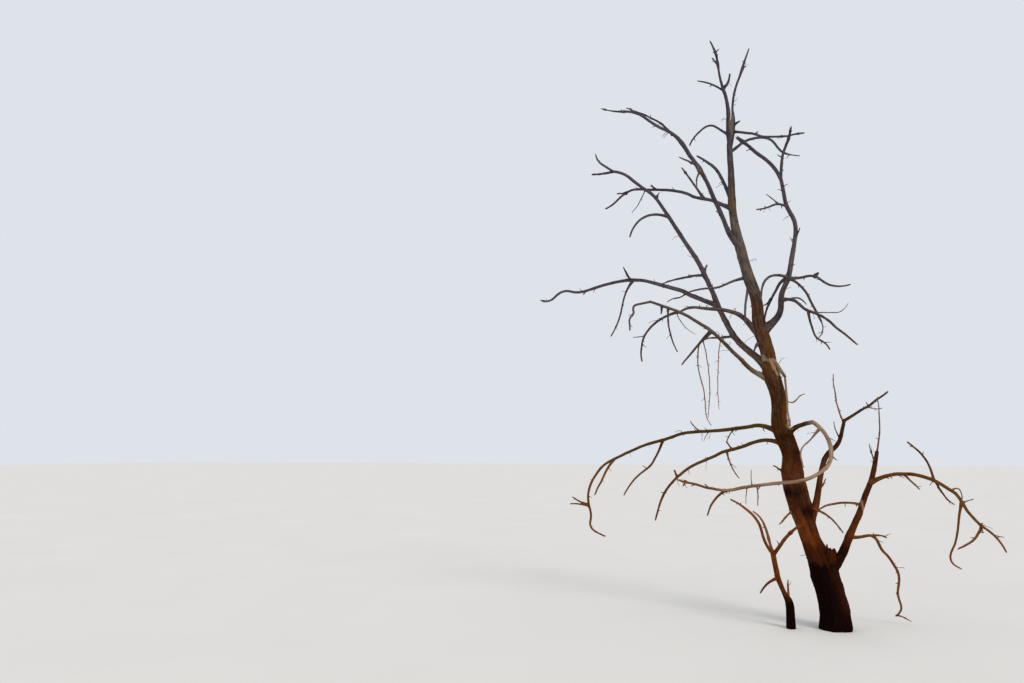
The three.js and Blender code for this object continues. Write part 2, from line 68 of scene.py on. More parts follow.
# name, what it grows from, where along it (or its place on the ground), length,
# rise, bearing, radius in millimetres at equal steps
LIMBS = [
    ("trunk", None, (0, 0), 4.551,
     [74, 75, 75, 69, 76, 76, 87, 64, 84, 74, 83, 73, 86, 71, 78, 80, 85, 87, 85, 85],
     [23, 158, 159, 168, 168, 173, 5, -178, -19, -168, -149, -167, -77, -172, -171, -177, 170, 47, 134, 81],
     [121.4, 128.8, 123.4, 117.3, 100.1, 86.5, 86.5, 100.9, 104.2, 98.7, 82.4, 80.9, 74.7, 71, 73.4, 76.6, 65.4, 64.3, 62.2, 54.1, 54.8, 53.7, 51.7, 50.7, 46.4, 38.7, 37.2, 35.1, 31.7, 29.7, 27.2]),
    ("leader_left", "trunk", 0.995, 0.56,
     [73, 78, 60],
     [-103, -66, -126],
     [20.3, 18.8, 17.3, 15.9]),
    ("leader_left_tip", "leader_left", 0.995, 0.459,
     [68, 78, 54],
     [-131, -100, -140],
     [13.5, 12.5, 11.5, 11, 15.8, 10.6, 14.4, 9.6, 6.7]),
    ("leader_left_arm", "leader_left", 0.95, 0.365,
     [43, 27],
     [150, 149],
     [11.5, 10.8, 8]),
    ("leader_right", "trunk", 0.985, 1.202,
     [70, 80, 67, 66],
     [38, 108, 45, 46],
     [17.4, 16, 15.1, 14.7, 13.8, 13.4, 12.9, 13, 18, 11.1, 7.6]),
    ("crown_arch_left", "leader_left", 0.195, 0.572,
     [42, 42, -22, -50],
     [151, 148, 149, 139],
     [12.6, 11.3, 11, 8.6]),
    ("crown_arm_right", "leader_right", 0.175, 0.914,
     [-21, -30, -16, -14],
     [-35, -43, -41, -45],
     [12.7, 10.8, 10, 7]),
    ("crown_bough_right", "trunk", 0.98, 0.907,
     [36, 39, 19, 3, -43, -12, 6],
     [12, 52, 37, 38, 51, 41, 36],
     [15.4, 12.7, 12.3, 11.4, 8]),
    ("right_limb", "trunk", 0.585, 1.506,
     [42, 32, 79, 54, 74, 71, 75, 54, 75, 70],
     [-6, -34, -79, -38, -51, -48, -56, -142, -109, -126],
     [34.7, 28.4, 25, 22.6, 21.6, 18.8, 18.7, 17.8, 16.5]),
    ("right_limb_tip", "right_limb", 0.995, 0.459,
     [69, 60, 34, 59],
     [-80, -72, -59, -72],
     [14.2, 12.4, 10.5, 7.8]),
    ("right_limb_return", "right_limb", 0.99, 0.545,
     [66, 30, 37],
     [-142, -147, -147],
     [17.4, 16.5, 16, 15.5, 15]),
    ("right_twig_left", "right_limb", 0.825, 0.382,
     [17, -25, -15],
     [-131, -132, -131],
     [11.6, 10.1, 7.4]),
    ("right_hook", "right_limb", 0.39, 0.668,
     [-3, -38, -40],
     [55, 66, 66],
     [14, 12.8, 13, 11.3]),
    ("right_arm_outer", "right_limb", 0.39, 0.834,
     [-13, -2, -35, -18, -0],
     [-38, -52, -56, -55, -54],
     [14.4, 12.2, 10.9, 6.8]),
    ("right_arch_inner", "right_limb", 0.395, 0.529,
     [12, -73],
     [-135, -85],
     [13.1, 11.6, 10.6, 7.4]),
    ("right_droop_inner", "right_limb", 0.395, 0.514,
     [-16, -32, -36, -44, -66],
     [174, 113, 129, 120, 111],
     [13.6, 11.9, 11.2, 8]),
    ("right_bough_low", "right_limb", 0.25, 1.053,
     [6, -40, -23, -35, -36, -35],
     [-40, -50, -47, -52, -54, -56],
     [15.5, 12.9, 12.1, 10.9, 9.4, 6.8]),
    ("right_bough_low_fork", "right_bough_low", 0.35, 0.409,
     [-79, -66, -69, -18, -61],
     [80, 54, 55, 31, 47],
     [10.9, 9.6, 8.7, 6.6]),
    ("left_crown_bough", "trunk", 0.775, 1.973,
     [38, 58, 58, 54, 49, 43, 15, 28, -10, 7],
     [-153, -117, -126, -125, -129, -131, -139, -135, -144, -139],
     [25.5, 21.1, 21, 18.5, 17, 15.5, 13.6, 11.7, 9.8, 7.5]),
    ("left_crown_inner", "trunk", 0.865, 0.899,
     [73, 54, 53, 39, 35],
     [163, 118, 129, 134, 138],
     [18.2, 16.2, 15.1, 10.3]),
    ("left_upper_bough", "trunk", 0.855, 2.088,
     [29, 30, 21, 30, 25, 19, 15, 19, -5, -20, -4],
     [162, 128, 143, 137, 142, 143, 145, 145, 144, 141, 145],
     [19.1, 17.3, 16.4, 15.9, 14.8, 13.6, 10.5]),
    ("left_upper_twig", "left_upper_bough", 0.21, 0.376,
     [56, 50],
     [-149, -144],
     [14, 12.5, 9]),
    ("left_long_bough", "trunk", 0.505, 2.974,
     [54, 38, 54, 67, 67, 64, 58, 58, 58, 59, 38, 44, 15],
     [-175, 154, 157, 149, 151, 153, 156, 157, 158, 158, 163, 162, 166],
     [32.4, 29.7, 26.8, 25.4, 23.8, 22.3, 20.6, 18.3, 17.1, 16.3, 14.9]),
    ("left_long_tip_up", "left_long_bough", 0.995, 0.276,
     [36, 31, 81],
     [-164, -156, -124],
     [13.3, 11.6, 8.3]),
    ("left_long_droop", "left_long_bough", 0.68, 0.61,
     [10, -67],
     [-138, -112],
     [14.1, 12.4, 8.6]),
    ("left_far_bough", "left_long_bough", 0.29, 2.496,
     [21, 28, 26, 20, 22, 6, 1, -6, -5, 16, -34, 24],
     [155, 149, 152, 153, 154, 156, 157, 156, 157, 160, 155, 159],
     [23.4, 22.1, 20.6, 19, 17.9, 16.7, 15.4, 13.4, 10.8]),
    ("left_far_droop", "left_far_bough", 0.46, 0.677,
     [-42, -70, -47],
     [153, 135, 151],
     [14.6, 12.5, 12.1, 8.9]),
    ("left_mid_arm", "trunk", 0.705, 0.789,
     [-10, -18, -26, -6, -14, -21],
     [179, -116, -129, -127, -127, -123],
     [13.6, 11.5, 10.4, 7.6]),
    ("trunk_droop_mid", "trunk", 0.7, 0.459,
     [-77, -58, -72],
     [-146, -98, -93],
     [13.1, 11.5, 8.2]),
    ("left_knee_bough", "trunk", 0.575, 1.096,
     [47, 28, 8, -4, 0, -30],
     [170, -112, -130, -129, -127, -123],
     [27.9, 23.9, 19, 15.6, 13.2, 10]),
    ("left_low_bough", "trunk", 0.485, 1.649,
     [26, 17, 36, 29, 28, 18, 15, 8, 8],
     [165, -120, -124, -121, -122, -124, -124, -125, -124],
     [23.1, 20.5, 17.5, 15.9, 14.8, 13.7, 11.8, 10.4]),
    ("left_low_bough_tip", "left_low_bough", 0.995, 0.383,
     [-10, -16, -13, -66, -36, -78, -74],
     [-154, -142, -151, -23, -144, -37, -82],
     [10.4, 9.5, 8.7, 6.5]),
    ("left_low_droop", "left_low_bough", 0.79, 0.638,
     [-1, -36, -78],
     [157, 155, 30],
     [12, 11.3, 10.6, 7.6]),
    ("left_low_hanger", "left_low_bough", 0.535, 0.469,
     [-30, -36],
     [141, 140],
     [12.8, 12.1, 10.9, 7.8]),
    ("left_middle_bough", "trunk", 0.38, 2.256,
     [24, 10, -8, -4, -2, 0, -2, -14, -10, -12, -17, -16],
     [-172, 127, 142, 138, 142, 143, 144, 142, 144, 145, 145, 145],
     [21, 18.1, 17.3, 16.4, 16.5, 16.5, 15.9]),
    ("left_middle_droop", "left_middle_bough", 0.995, 1.288,
     [-27, -22, -30, -44, -56, -71, -85, -72, -73, -34, -18],
     [171, 168, 169, 167, 166, 162, 96, 20, 173, 13, 12],
     [15.9, 14.9, 14.5, 14, 13.3, 9.3]),
    ("left_middle_fork", "left_middle_droop", 0.135, 0.464,
     [-51, -60],
     [-135, -123],
     [13.8, 12.5, 9]),
    ("left_middle_hanger", "left_middle_bough", 0.72, 0.852,
     [-60, -58, -28, -43, -55],
     [146, 147, 155, 153, 150],
     [14, 13.1, 12.2, 9]),
    ("left_drooping_bough", "trunk", 0.35, 1.763,
     [35, 4, -25, -12, -21, -22, -34, -47, -65, -73],
     [-177, 153, 159, 158, 159, 159, 158, 156, 151, 144],
     [20, 17.1, 16, 15.3, 14.5, 13.7, 12.9, 11.6, 8.6]),
    ("curl_rise", "trunk", 0.365, 0.411,
     [56, 13, 5],
     [-39, -52, -46],
     [22.7, 20.6, 18.5, 17.8]),
    ("curl_bend", "curl_rise", 0.995, 0.51,
     [-25, -60, -47],
     [-45, -54, -143],
     [17.4, 16.4, 16.2, 17.4, 18.5, 17.5, 16.6]),
    ("curl_return", "curl_bend", 0.995, 0.743,
     [-41, -1, -11],
     [-161, -164, -164],
     [16.6, 16.2, 15.7, 15.3, 14.5, 13.7, 13.3, 12.9]),
    ("curl_tip", "curl_return", 0.995, 0.55,
     [-16, 16, 14],
     [-152, -148, -148],
     [12.9, 12, 11.2, 9.9, 7]),
    ("curl_tip_droop", "curl_tip", 0.235, 0.297,
     [-25, -69],
     [153, 139],
     [11.6, 10.9, 7.2]),
    ("curl_fork", "curl_bend", 0.19, 0.123,
     [-48, -47],
     [154, 152],
     [12, 10.3, 6.9]),
    ("side_stem", "trunk", 0.19, 1.092,
     [65, 59, 74, 72, 67, 31, 70, 69],
     [-7, 45, 52, 53, 45, 31, 47, 45],
     [33.2, 30.3, 27.8, 26.2, 23.6, 21.9, 18.3, 15.7]),
    ("side_stem_arm", "side_stem", 0.995, 0.614,
     [24, 30],
     [43, 43],
     [14.7, 13, 11.3, 8.1]),
    ("right_low_bough", "trunk", 0.1, 1.224,
     [36, 63, 59, 63, 73],
     [10, -43, -44, -47, -59],
     [41.6, 35.3, 31.7, 29, 26.7, 24.4, 22.6, 20.8, 14.9]),
    ("right_low_arm", "right_low_bough", 0.78, 1.44,
     [22, 10, -11, -23, -49, -22, -46],
     [-40, -43, -45, -53, -67, -57, -72],
     [18, 15.5, 14.4, 13.6, 12.5, 11.4, 10, 8.4, 5.8]),
    ("right_low_arm_hook", "right_low_arm", 0.81, 0.241,
     [-65, -19],
     [-155, -161],
     [9.2, 8.1, 5.7]),
    ("right_low_arm_hanger", "right_low_arm", 0.635, 0.583,
     [-69, -69, -62, -18],
     [131, 96, 149, 27],
     [10, 9.3, 8.6, 7.9, 6]),
    ("right_low_arm_spray", "right_low_arm", 0.425, 0.41,
     [69, 25],
     [-114, -139],
     [9.6, 8.4, 6.1]),
    ("right_low_twig_left", "right_low_bough", 0.6, 0.547,
     [13, -15],
     [-130, -127],
     [11.4, 10, 9.1, 6.5]),
    ("right_foot_arm", "right_low_bough", 0.34, 1.102,
     [-9, 12, -60, -40, -59, -71, -63, -34],
     [24, 35, 51, 43, 51, 132, 47, 148],
     [13.7, 12.1, 12.1, 11.3, 10.9, 10.1, 7.5]),
    ("base_shoot", None, (-0.336, -0.1), 0.641,
     [86, 86, 86, 61, 66, 69, 79, 80, 81],
     [65, 83, 99, 163, 162, 160, 152, 148, 145],
     [36.9, 37, 36.7, 35.9, 23.4, 19.2, 20.5, 22.8, 22.8, 22.9, 22.9]),
    ("base_shoot_fork_left", "base_shoot", 0.985, 0.701,
     [42, 65, 37, 22],
     [-132, -112, -132, -136],
     [15, 13.2, 12.2, 11.3, 9.9, 7.3]),
    ("base_shoot_fork_right", "base_shoot", 0.97, 0.46,
     [47, 30],
     [-48, -51],
     [17.2, 15.7, 13.7, 9.3]),
    ("base_shoot_arm", "base_shoot", 0.67, 0.213,
     [-14, -50],
     [-150, -136],
     [11.4, 10.5, 7.4]),
    ("crotch_stub", "trunk", 0.085, 0.263,
     [80, 81],
     [0, 0],
     [65.2, 64.4, 59.2]),
    ("trunk_stub", "trunk", 0.55, 0.313,
     [-59, -52],
     [-1, -39],
     [23, 21.1, 17.8, 11.8]),
]

# thin twigs, given the same way
TWIGS = [
    ("leader_left_spur", "leader_left", 0.995, 0.238,
     [34, 73],
     [57, 85],
     [12, 10.6, 8.8]),
    ("right_hook_tip", "right_hook", 0.99, 0.199,
     [-61, -38],
     [34, 151],
     [5.4, 4.8, 3.5]),
    ("left_crown_bough_fork", "left_crown_bough", 0.625, 0.7,
     [48.4, 48.8, 35.1, 39.7, 32.6, 24],
     [138.4, 146.8, 147.6, 148.9, 152.3, 195.2],
     [10.4, 9.8, 8.6, 7.8, 5.2]),
    ("left_long_tip_side", "left_long_bough", 0.995, 0.286,
     [0, 13],
     [158, 161],
     [12.2, 11.2, 8.5]),
    ("tw_tip", "leader_left_tip", 0.505, 0.083,
     [52, 28],
     [-166, -124],
     [7.7, 4.8]),
    ("tw_tip_2", "leader_left_tip", 0.75, 0.071,
     [47, 41],
     [30, 68],
     [5, 3.4]),
    ("tw_lead", "leader_right", 0.24, 0.081,
     [14, -4],
     [-23, -54],
     [8.8, 5.3]),
    ("tw_lead_2", "leader_right", 0.785, 0.082,
     [40, 37],
     [42, 60],
     [7, 4.5]),
    ("tw_l1", "left_crown_bough", 0.435, 0.289,
     [35, 32],
     [142, 141],
     [9.7, 8.5, 5.2]),
    ("tw_l1_2", "left_crown_bough", 0.405, 0.187,
     [-53, -65],
     [-139, -65],
     [8.8, 7.4, 4.6]),
    ("tw_l1_3", "left_crown_bough", 0.84, 0.058,
     [35, 33],
     [-135, -122],
     [7.2, 4.5]),
    ("tw_l1_4", "left_crown_bough", 0.18, 0.071,
     [18, -3],
     [-117, -124],
     [8.4, 5.1]),
    ("tw_r3f", "right_twig_left", 0.285, 0.175,
     [44, 48],
     [151, 146],
     [6, 5, 3.4]),
    ("tw_l3", "left_long_bough", 0.83, 0.302,
     [-57, -30],
     [143, 146],
     [5.6, 4.7, 3]),
    ("tw_l3_2", "left_long_bough", 0.77, 0.081,
     [64, 6],
     [3, -56],
     [7.6, 5]),
    ("tw_l3_3", "left_long_bough", 0.42, 0.098,
     [71, 48],
     [33, 60],
     [10, 6.5]),
    ("tw_l3_4", "left_long_bough", 0.41, 0.488,
     [-4, -24],
     [-149, -139],
     [12.4, 10.9, 8.9, 5.9]),
    ("tw_l4", "left_far_bough", 0.47, 0.175,
     [40, 57],
     [-125, -112],
     [10.8, 8.6, 5.4]),
    ("tw_l4_2", "left_far_bough", 0.17, 0.269,
     [-49, -8, -37],
     [-126, -137, -129],
     [7.6, 6.4, 4.1]),
    ("tw_l4_3", "left_far_bough", 0.725, 0.056,
     [-51, -34],
     [161, 126],
     [7.3, 5]),
    ("tw_l2", "left_upper_bough", 0.815, 0.144,
     [9, 13],
     [164, 142],
     [10.2, 6.3]),
    ("tw_l2_2", "left_upper_bough", 0.59, 0.072,
     [32, 33],
     [-130, -119],
     [8.7, 5.4]),
    ("tw_l5", "left_low_bough", 0.87, 0.43,
     [-81, -52],
     [-111, -44],
     [8.5, 7.5, 6.6, 4.5]),
    ("tw_l5_2", "left_low_bough", 0.815, 0.284,
     [-65, -20],
     [62, 42],
     [3.9, 3.2, 2.1]),
    ("tw_l5_3", "left_low_bough", 0.915, 0.072,
     [-71, -62],
     [108, 125],
     [7.6, 4.6]),
    ("tw_l5a", "left_low_droop", 0.65, 0.133,
     [-7, 10],
     [159, 144],
     [4.5, 2.9]),
    ("tw_l7b", "left_long_bough", 0.17, 0.331,
     [-14, -6, -1, -27],
     [-167, -133, -143, -133],
     [11, 9.5, 5.7]),
    ("tw_l7", "left_low_hanger", 0.395, 0.758,
     [-77, -79, -70, -83, -54],
     [-151, -62, -33, -109, -26],
     [5.9, 5.3, 5, 4.3, 3]),
    ("tw_trunk", "trunk", 0.57, 0.162,
     [-23, -66],
     [-160, -103],
     [11.1, 9.7, 6.4]),
    ("tw_trunk_2", "trunk", 0.3, 0.268,
     [8, 10, 21],
     [-176, -104, -123],
     [9.9, 8.1, 4.9]),
    ("tw_trunk_3", "trunk", 0.23, 0.32,
     [-18, -19, -30, -24],
     [-169, -114, -126, -119],
     [11.2, 9.3, 7.9, 5.2]),
    ("tw_trunk_4", "trunk", 0.24, 0.515,
     [-23, -14, -32, -43],
     [16, -41, -48, -53],
     [11.6, 9.6, 8.2, 5.1]),
    ("tw_l9", "left_drooping_bough", 0.325, 0.11,
     [50, 40],
     [-140, -112],
     [8.6, 5.2]),
    ("tw_l9_2", "left_drooping_bough", 0.705, 0.081,
     [57, 47],
     [140, 124],
     [9, 5.5]),
    ("tw_l9_3", "left_drooping_bough", 0.36, 0.298,
     [-68, -42],
     [-59, -42],
     [8.1, 6.6, 4.7]),
    ("tw_c1", "curl_tip", 0.89, 0.052,
     [-32, -49],
     [-113, -121],
     [7.8, 4.9]),
    ("tw_c1_2", "curl_return", 0.81, 0.17,
     [-75, -78],
     [-73, -100],
     [5.4, 3.3]),
    ("tw_c1_3", "curl_return", 0.92, 0.149,
     [-70, -75],
     [132, 95],
     [4, 2.5]),
    ("tw_c1_4", "curl_return", 0.865, 0.147,
     [59, 69],
     [-101, -72],
     [4, 2.5]),
    ("tw_l8", "left_middle_droop", 0.655, 0.227,
     [14, 35],
     [-148, -135],
     [12.2, 9.9, 5.8]),
    ("tw_l8_2", "left_middle_droop", 0.665, 0.28,
     [10, -5],
     [160, 158],
     [11.1, 8.8, 5.9]),
    ("tw_l8_3", "left_middle_bough", 0.475, 0.166,
     [28, 51],
     [-132, -124],
     [7.4, 6.1, 4.1]),
    ("tw_l8_4", "left_middle_bough", 0.26, 0.211,
     [-24, -56],
     [132, 124],
     [7, 5.8, 3.9]),
    ("tw_r4a", "right_low_arm", 0.44, 0.242,
     [-60, -26],
     [-63, -57],
     [7.7, 6.4, 4.1]),
    ("tw_r4a_2", "right_low_arm", 0.545, 0.204,
     [26, -74],
     [43, 106],
     [5.4, 4.6, 3]),
    ("tw_r4a_3", "right_low_arm", 0.64, 0.096,
     [23, 14],
     [-31, -56],
     [4.4, 2.5]),
    ("tw_r4a_4", "right_low_arm", 0.235, 0.246,
     [-36, -24],
     [54, 56],
     [8, 6.9, 4.1]),
    ("tw_r5", "right_foot_arm", 0.195, 0.144,
     [13, -26],
     [14, 41],
     [8.6, 7.3, 4.8]),
    ("tw_r5_2", "right_foot_arm", 0.99, 0.131,
     [-4, -28],
     [-29, -29],
     [6, 5, 3.1]),
    ("tw_s1b", "base_shoot", 0.995, 0.447,
     [63, 62, 21],
     [127, 120, 143],
     [11.9, 10.7, 9.5, 6]),
    ("tw_r3e", "right_bough_low", 0.105, 0.214,
     [29, -43],
     [45, 53],
     [8.5, 7.2, 4.5]),
    ("tw_r3e_2", "right_bough_low", 0.415, 0.371,
     [-1, 2, 60],
     [12, 39, 35],
     [5.2, 4.4, 3.7, 2.3]),
    ("tw_r3d", "right_arm_outer", 0.41, 0.059,
     [52, 29],
     [39, 48],
     [11, 6.9]),
    ("tw_r4", "right_low_bough", 0.98, 0.507,
     [67, 78],
     [50, 113],
     [7.7, 6.3, 5, 3.4]),
    ("tw_r4_2", "right_low_bough", 0.925, 0.202,
     [47, 51],
     [-114, -104],
     [6.6, 5.3, 3.3]),
    ("tw_r3h", "right_droop_inner", 0.575, 0.129,
     [-51, -22],
     [-132, -134],
     [8.8, 6.9, 4.6]),
    ("tw_r3", "right_limb", 0.64, 0.099,
     [18, 52],
     [-45, -64],
     [8.1, 4.9]),
    ("tw_s2", "side_stem", 0.33, 0.158,
     [31, 49],
     [-54, -57],
     [9, 6.7, 4.4]),
    ("tw_s2_2", "side_stem", 0.835, 0.19,
     [44, 64],
     [122, 99],
     [6.1, 4.8, 3.3]),
    ("tw_h1", "side_stem_arm", 0.515, 0.149,
     [-26, 16],
     [22, 28],
     [5.2, 3.3]),
    ("tw_s1c", "base_shoot", 0.335, 0.185,
     [82, 82],
     [78, 91],
     [11.2, 9.5, 7.8, 4.8]),
    ("tw_l7c", "left_low_hanger", 0.27, 0.7,
     [-76, -79],
     [32, 153],
     [4.6, 4.3, 4.3, 4, 2.6]),
    ("tw_l7d", "left_low_bough", 0.45, 0.636,
     [-77, -80],
     [-132, -61],
     [4.2, 3.9, 3.6, 3.4, 2.4]),
    ("tw_s2b", "side_stem", 0.975, 0.488,
     [64, 77],
     [139, 70],
     [7.6, 6.6, 5.6, 3.9]),
    ("tw_p1", "trunk_stub", 0.995, 0.447,
     [-86, -85],
     [-56, -42],
     [11.8, 9.5, 9, 9, 9.8]),
    ("tw_p2", "tw_p1", 0.495, 0.194,
     [-43, 53, 5],
     [-20, -25, -21],
     [6.4, 6.4, 5.7, 3.7]),
    ("tw_stub", "crotch_stub", 0.825, 0.112,
     [75, 76],
     [175, -92],
     [12.2, 8.7, 4.4]),
    ("tw_p3", "curl_fork", 0.97, 0.295,
     [-48.1, -34.9, -76.2, -66.5, -81.7],
     [167.8, 164.3, 184.2, 55.6, 48.6],
     [7.0, 6.4, 7.0, 6.4, 4.6]),
]

# how bare of bark a limb is, at equal steps from base to tip
BARE_PART = {
    "curl_bend": [0.75, 1, 0.85, 0.9, 0.95, 1], "curl_return": [1, 1, 0.85, 0.55, 0.5, 0.6, 0.6, 0.55, 0.5, 0.45],
    "curl_rise": [0, 0, 0, 0, 0, 0, 0.15, 0.75], "curl_tip": [0.3, 0.25, 0.15, 0.1], "curl_fork": [0.85, 0.75, 0.7],
    "trunk_stub": [0.8, 0.75, 0.6, 0.45, 0.3],
    "left_low_bough": [0.75, 0.75, 0.6] + [0.05] * 14,
}
# how far a limb is darkened, at equal steps from base to tip
DARK_PART = {
    "side_stem": [0, 0, 0, 0.05, 0.25, 0.45], "side_stem_arm": [0.50, 0.50, 0.45],
}
# limbs that thin out sooner than their solid does: share of its radius
SLENDER = {
    "leader_right": 0.86, "left_upper_twig": 0.88, "left_far_droop": 0.80, "leader_left_arm": 0.86, "right_hook": 0.88,
    "curl_tip_droop": 0.86, "left_middle_hanger": 0.86, "right_twig_left": 0.88, "right_arm_outer": 0.90,
    "left_upper_bough": 0.92, "left_low_hanger": 0.90, "left_low_droop": 0.92,
    "crown_arch_left": 0.90, "left_mid_arm": 0.92, "leader_left_tip": 0.94, "left_middle_droop": 0.95,
    "right_low_arm_hanger": 0.92,
}
# ends that are thinner still: where it starts, share of the radius
THIN_END = {"crown_bough_right": (0.84, 0.62), "left_crown_bough": (0.915, 0.62)}
# swellings of single limbs: place along the limb, height, reach, facing (or all
# round), how dark and how bare it is
KNOBS = {
    "left_crown_bough": [(0.415, 0.0080, 0.050, None, 0.0, 0.22), (0.892, 0.0040, 0.020, None, 0.2, 0.0),
                         (0.54, 0.0034, 0.130, None, 0.0, 0.0), (0.562, 0.0026, 0.030, None, 0.3, 0.0),
                         (0.985, 0.0050, 0.016, None, 0.4, 0.0)],
    "left_low_hanger": [(0.15, 0.0060, 0.060, None, 0.0, 0.0)],
    # the pale patch on this swelling, on the right side where the leaders meet, is partly bare wood and partly a
    # painted highlight
    "leader_left": [(0.37, 0.0060, 0.150, (0.93, 0.36, 0), 0.0, 0.30)],
    "left_upper_twig": [(0.86, 0.0065, 0.012, None, 0.6, 0.0)],
    "right_limb_tip": [(0.80, 0.0030, 0.070, None, 0.0, 0.0), (0.95, 0.0040, 0.012, None, 0.3, 0.0),
                       (0.80, 0.0030, 0.014, None, 0.3, 0.0)],
    "right_limb_return": [(0.90, 0.0050, 0.022, None, 0.3, 0.0)],
    "crown_arm_right": [(0.71, 0.0045, 0.012, None, 0.3, 0.0), (0.93, 0.0040, 0.012, None, 0.3, 0.0)],
    "left_far_bough": [(0.985, 0.0040, 0.016, None, 0.2, 0.0)],
    "base_shoot_fork_right": [(0.708, 0.0050, 0.018, None, 0.7, 0.0)],
    # the pale patch on this swelling, on the side that faces the other leader, is partly bare wood and partly a painted
    # highlight
    "leader_right": [(0.20, 0.0250, 0.150, (-0.93, -0.36, 0), 0.0, 0.56)],
}
# strips where the bark is gone, and one painted highlight in the same pale colour: limbs, line in x and z, half width,
# how bare
STRIPS = [
    (("trunk",), [(-0.470, 2.362), (-0.423, 2.328), (-0.389, 2.313), (-0.369, 2.266), (-0.345, 2.215)], 0.026, 0.80),
    (("trunk", "curl_rise"), [(-0.284, 1.737), (-0.262, 1.716)], 0.023, 0.52),
    # painted highlight on the trunk's left side, pale like bare wood
    (("trunk",), [(-0.302, 0.925), (-0.268, 0.845)], 0.032, 0.10),
    (("right_low_bough",), [(0.278, 1.085), (0.292, 1.005)], 0.011, 0.85),
]
# swellings of the trunk that no limb explains: centre, reach, height
BULGES = [((0.128, -0.04, 0.025), 0.062, 0.024), ((-0.245, -0.03, 1.715), 0.045, 0.012)]
# dark sunken knots of the trunk: centre, reach
SOCKETS = [((-0.395, 0.00, 2.612), 0.030), ((-0.470, -0.06, 2.640), 0.026), ((-0.020, -0.13, 0.640), 0.030)]

# ---- seeded noise on arrays ----
def hashed(ix, iy, iz, seed):
    h = (ix * 374761393 + iy * 668265263 + iz * 1274126177 + seed * 974634777) & 0xFFFFFFFF
    h = ((h ^ (h >> 13)) * 1103515245) & 0xFFFFFFFF
    h = ((h ^ (h >> 16)) * 747796405) & 0xFFFFFFFF
    return ((h ^ (h >> 15)) & 0xFFFFFF) / float(0xFFFFFF)


def noise(x, y, z, seed=0):
    """Smooth value noise from -1 to 1."""
    x, y, z = np.broadcast_arrays(np.asarray(x, float), np.asarray(y, float), np.asarray(z, float))
    ix, iy, iz = (np.floor(v).astype(np.int64) for v in (x, y, z))
    fx, fy, fz = x - ix, y - iy, z - iz
    fx, fy, fz = (v * v * v * (v * (v * 6 - 15) + 10) for v in (fx, fy, fz))
    total = np.zeros(x.shape)
    for dx in (0, 1):
        wx = fx if dx else 1 - fx
        for dy in (0, 1):
            wy = fy if dy else 1 - fy
            for dz in (0, 1):
                wz = fz if dz else 1 - fz
                total += wx * wy * wz * hashed(ix + dx, iy + dy, iz + dz, seed)
    return total * 2 - 1


def fbm(x, y, z, seed, octaves=3, gain=0.5):
    out, a, f, whole = 0.0, 1.0, 1.0, 0.0
    for k in range(octaves):
        out = out + a * noise(x * f, y * f, z * f, seed + 17 * k)
        whole += a
        a *= gain
        f *= 2.03
    return out / whole


# ---- centrelines ----
def heading(rise, bearing):
    e, b = np.radians(rise), np.radians(bearing)
    return np.stack([np.cos(e) * np.cos(b), np.cos(e) * np.sin(b), np.sin(e)], -1)


def walk(length, rise, bearing, start):
    """Points along a limb, FINE of them between two stations."""
    U = heading(np.array(rise, float), np.array(bearing, float))
    last = len(U) - 1
    steps = max(BEND_STEPS * last, math.ceil(round(length * 1000) / (RING_STEP * 1000)))
    n = steps * FINE
    x = (np.arange(n) + 0.5) / n * last
    i = np.minimum(x.astype(int), last - 1)
    f = (x - i)[:, None]
    d = U[i] * (1 - f) + U[i + 1] * f
    d /= np.linalg.norm(d, axis=1)[:, None]
    return np.vstack([start, start + np.cumsum(d, 0) * (length / n)])


def point_at(stations, t):
    x = t * (len(stations) - 1)
    i = min(int(x), len(stations) - 2)
    return stations[i] + (stations[i + 1] - stations[i]) * (x - i)


def mix(values, t):
    values = np.asarray(values, float)
    return np.interp(np.clip(t, 0, 1) * (len(values) - 1), np.arange(len(values)), values)


def unit(v):
    return v / np.maximum(np.linalg.norm(v, axis=-1, keepdims=True), 1e-12)


def frames(points, rooted):
    """Tangents, and two sides carried along without twist."""
    T = np.empty_like(points)
    T[1:-1] = points[2:] - points[:-2]
    T[0], T[-1] = points[1] - points[0], points[-1] - points[-2]
    T = unit(T)
    if rooted:                                   # level rings where the foot is cut flat
        s = np.concatenate([[0], np.cumsum(np.linalg.norm(np.diff(points, axis=0), axis=1))])
        w = np.clip(s / 0.11, 0, 1)[:, None]
        T = unit(T * w + np.array([0, 0, 1.0]) * (1 - w))
    side = np.array([0, 0, 1.0]) if abs(T[0][2]) <= 0.9 else np.array([0, -1.0, 0])
    side = unit(side - T[0] * (side @ T[0]))
    S = np.empty_like(points)
    S[0] = side
    for i in range(1, len(points)):
        side = side - T[i] * (side @ T[i])
        side = side / np.linalg.norm(side)
        S[i] = side
    return T, S, np.cross(T, S)


def resampled(points, step):
    seg = np.linalg.norm(np.diff(points, axis=0), axis=1)
    s = np.concatenate([[0], np.cumsum(seg)])
    n = max(6, int(round(s[-1] / step)))
    t = np.linspace(0, s[-1], n + 1)
    return np.stack([np.interp(t, s, points[:, k]) for k in range(3)], 1), t


def smoothed(points, passes=2):
    p = points.copy()
    for _ in range(passes):
        p[1:-1] = 0.25 * p[:-2] + 0.5 * p[1:-1] + 0.25 * p[2:]
    return p


# ---- the skeleton ----
class Limb:
    pass


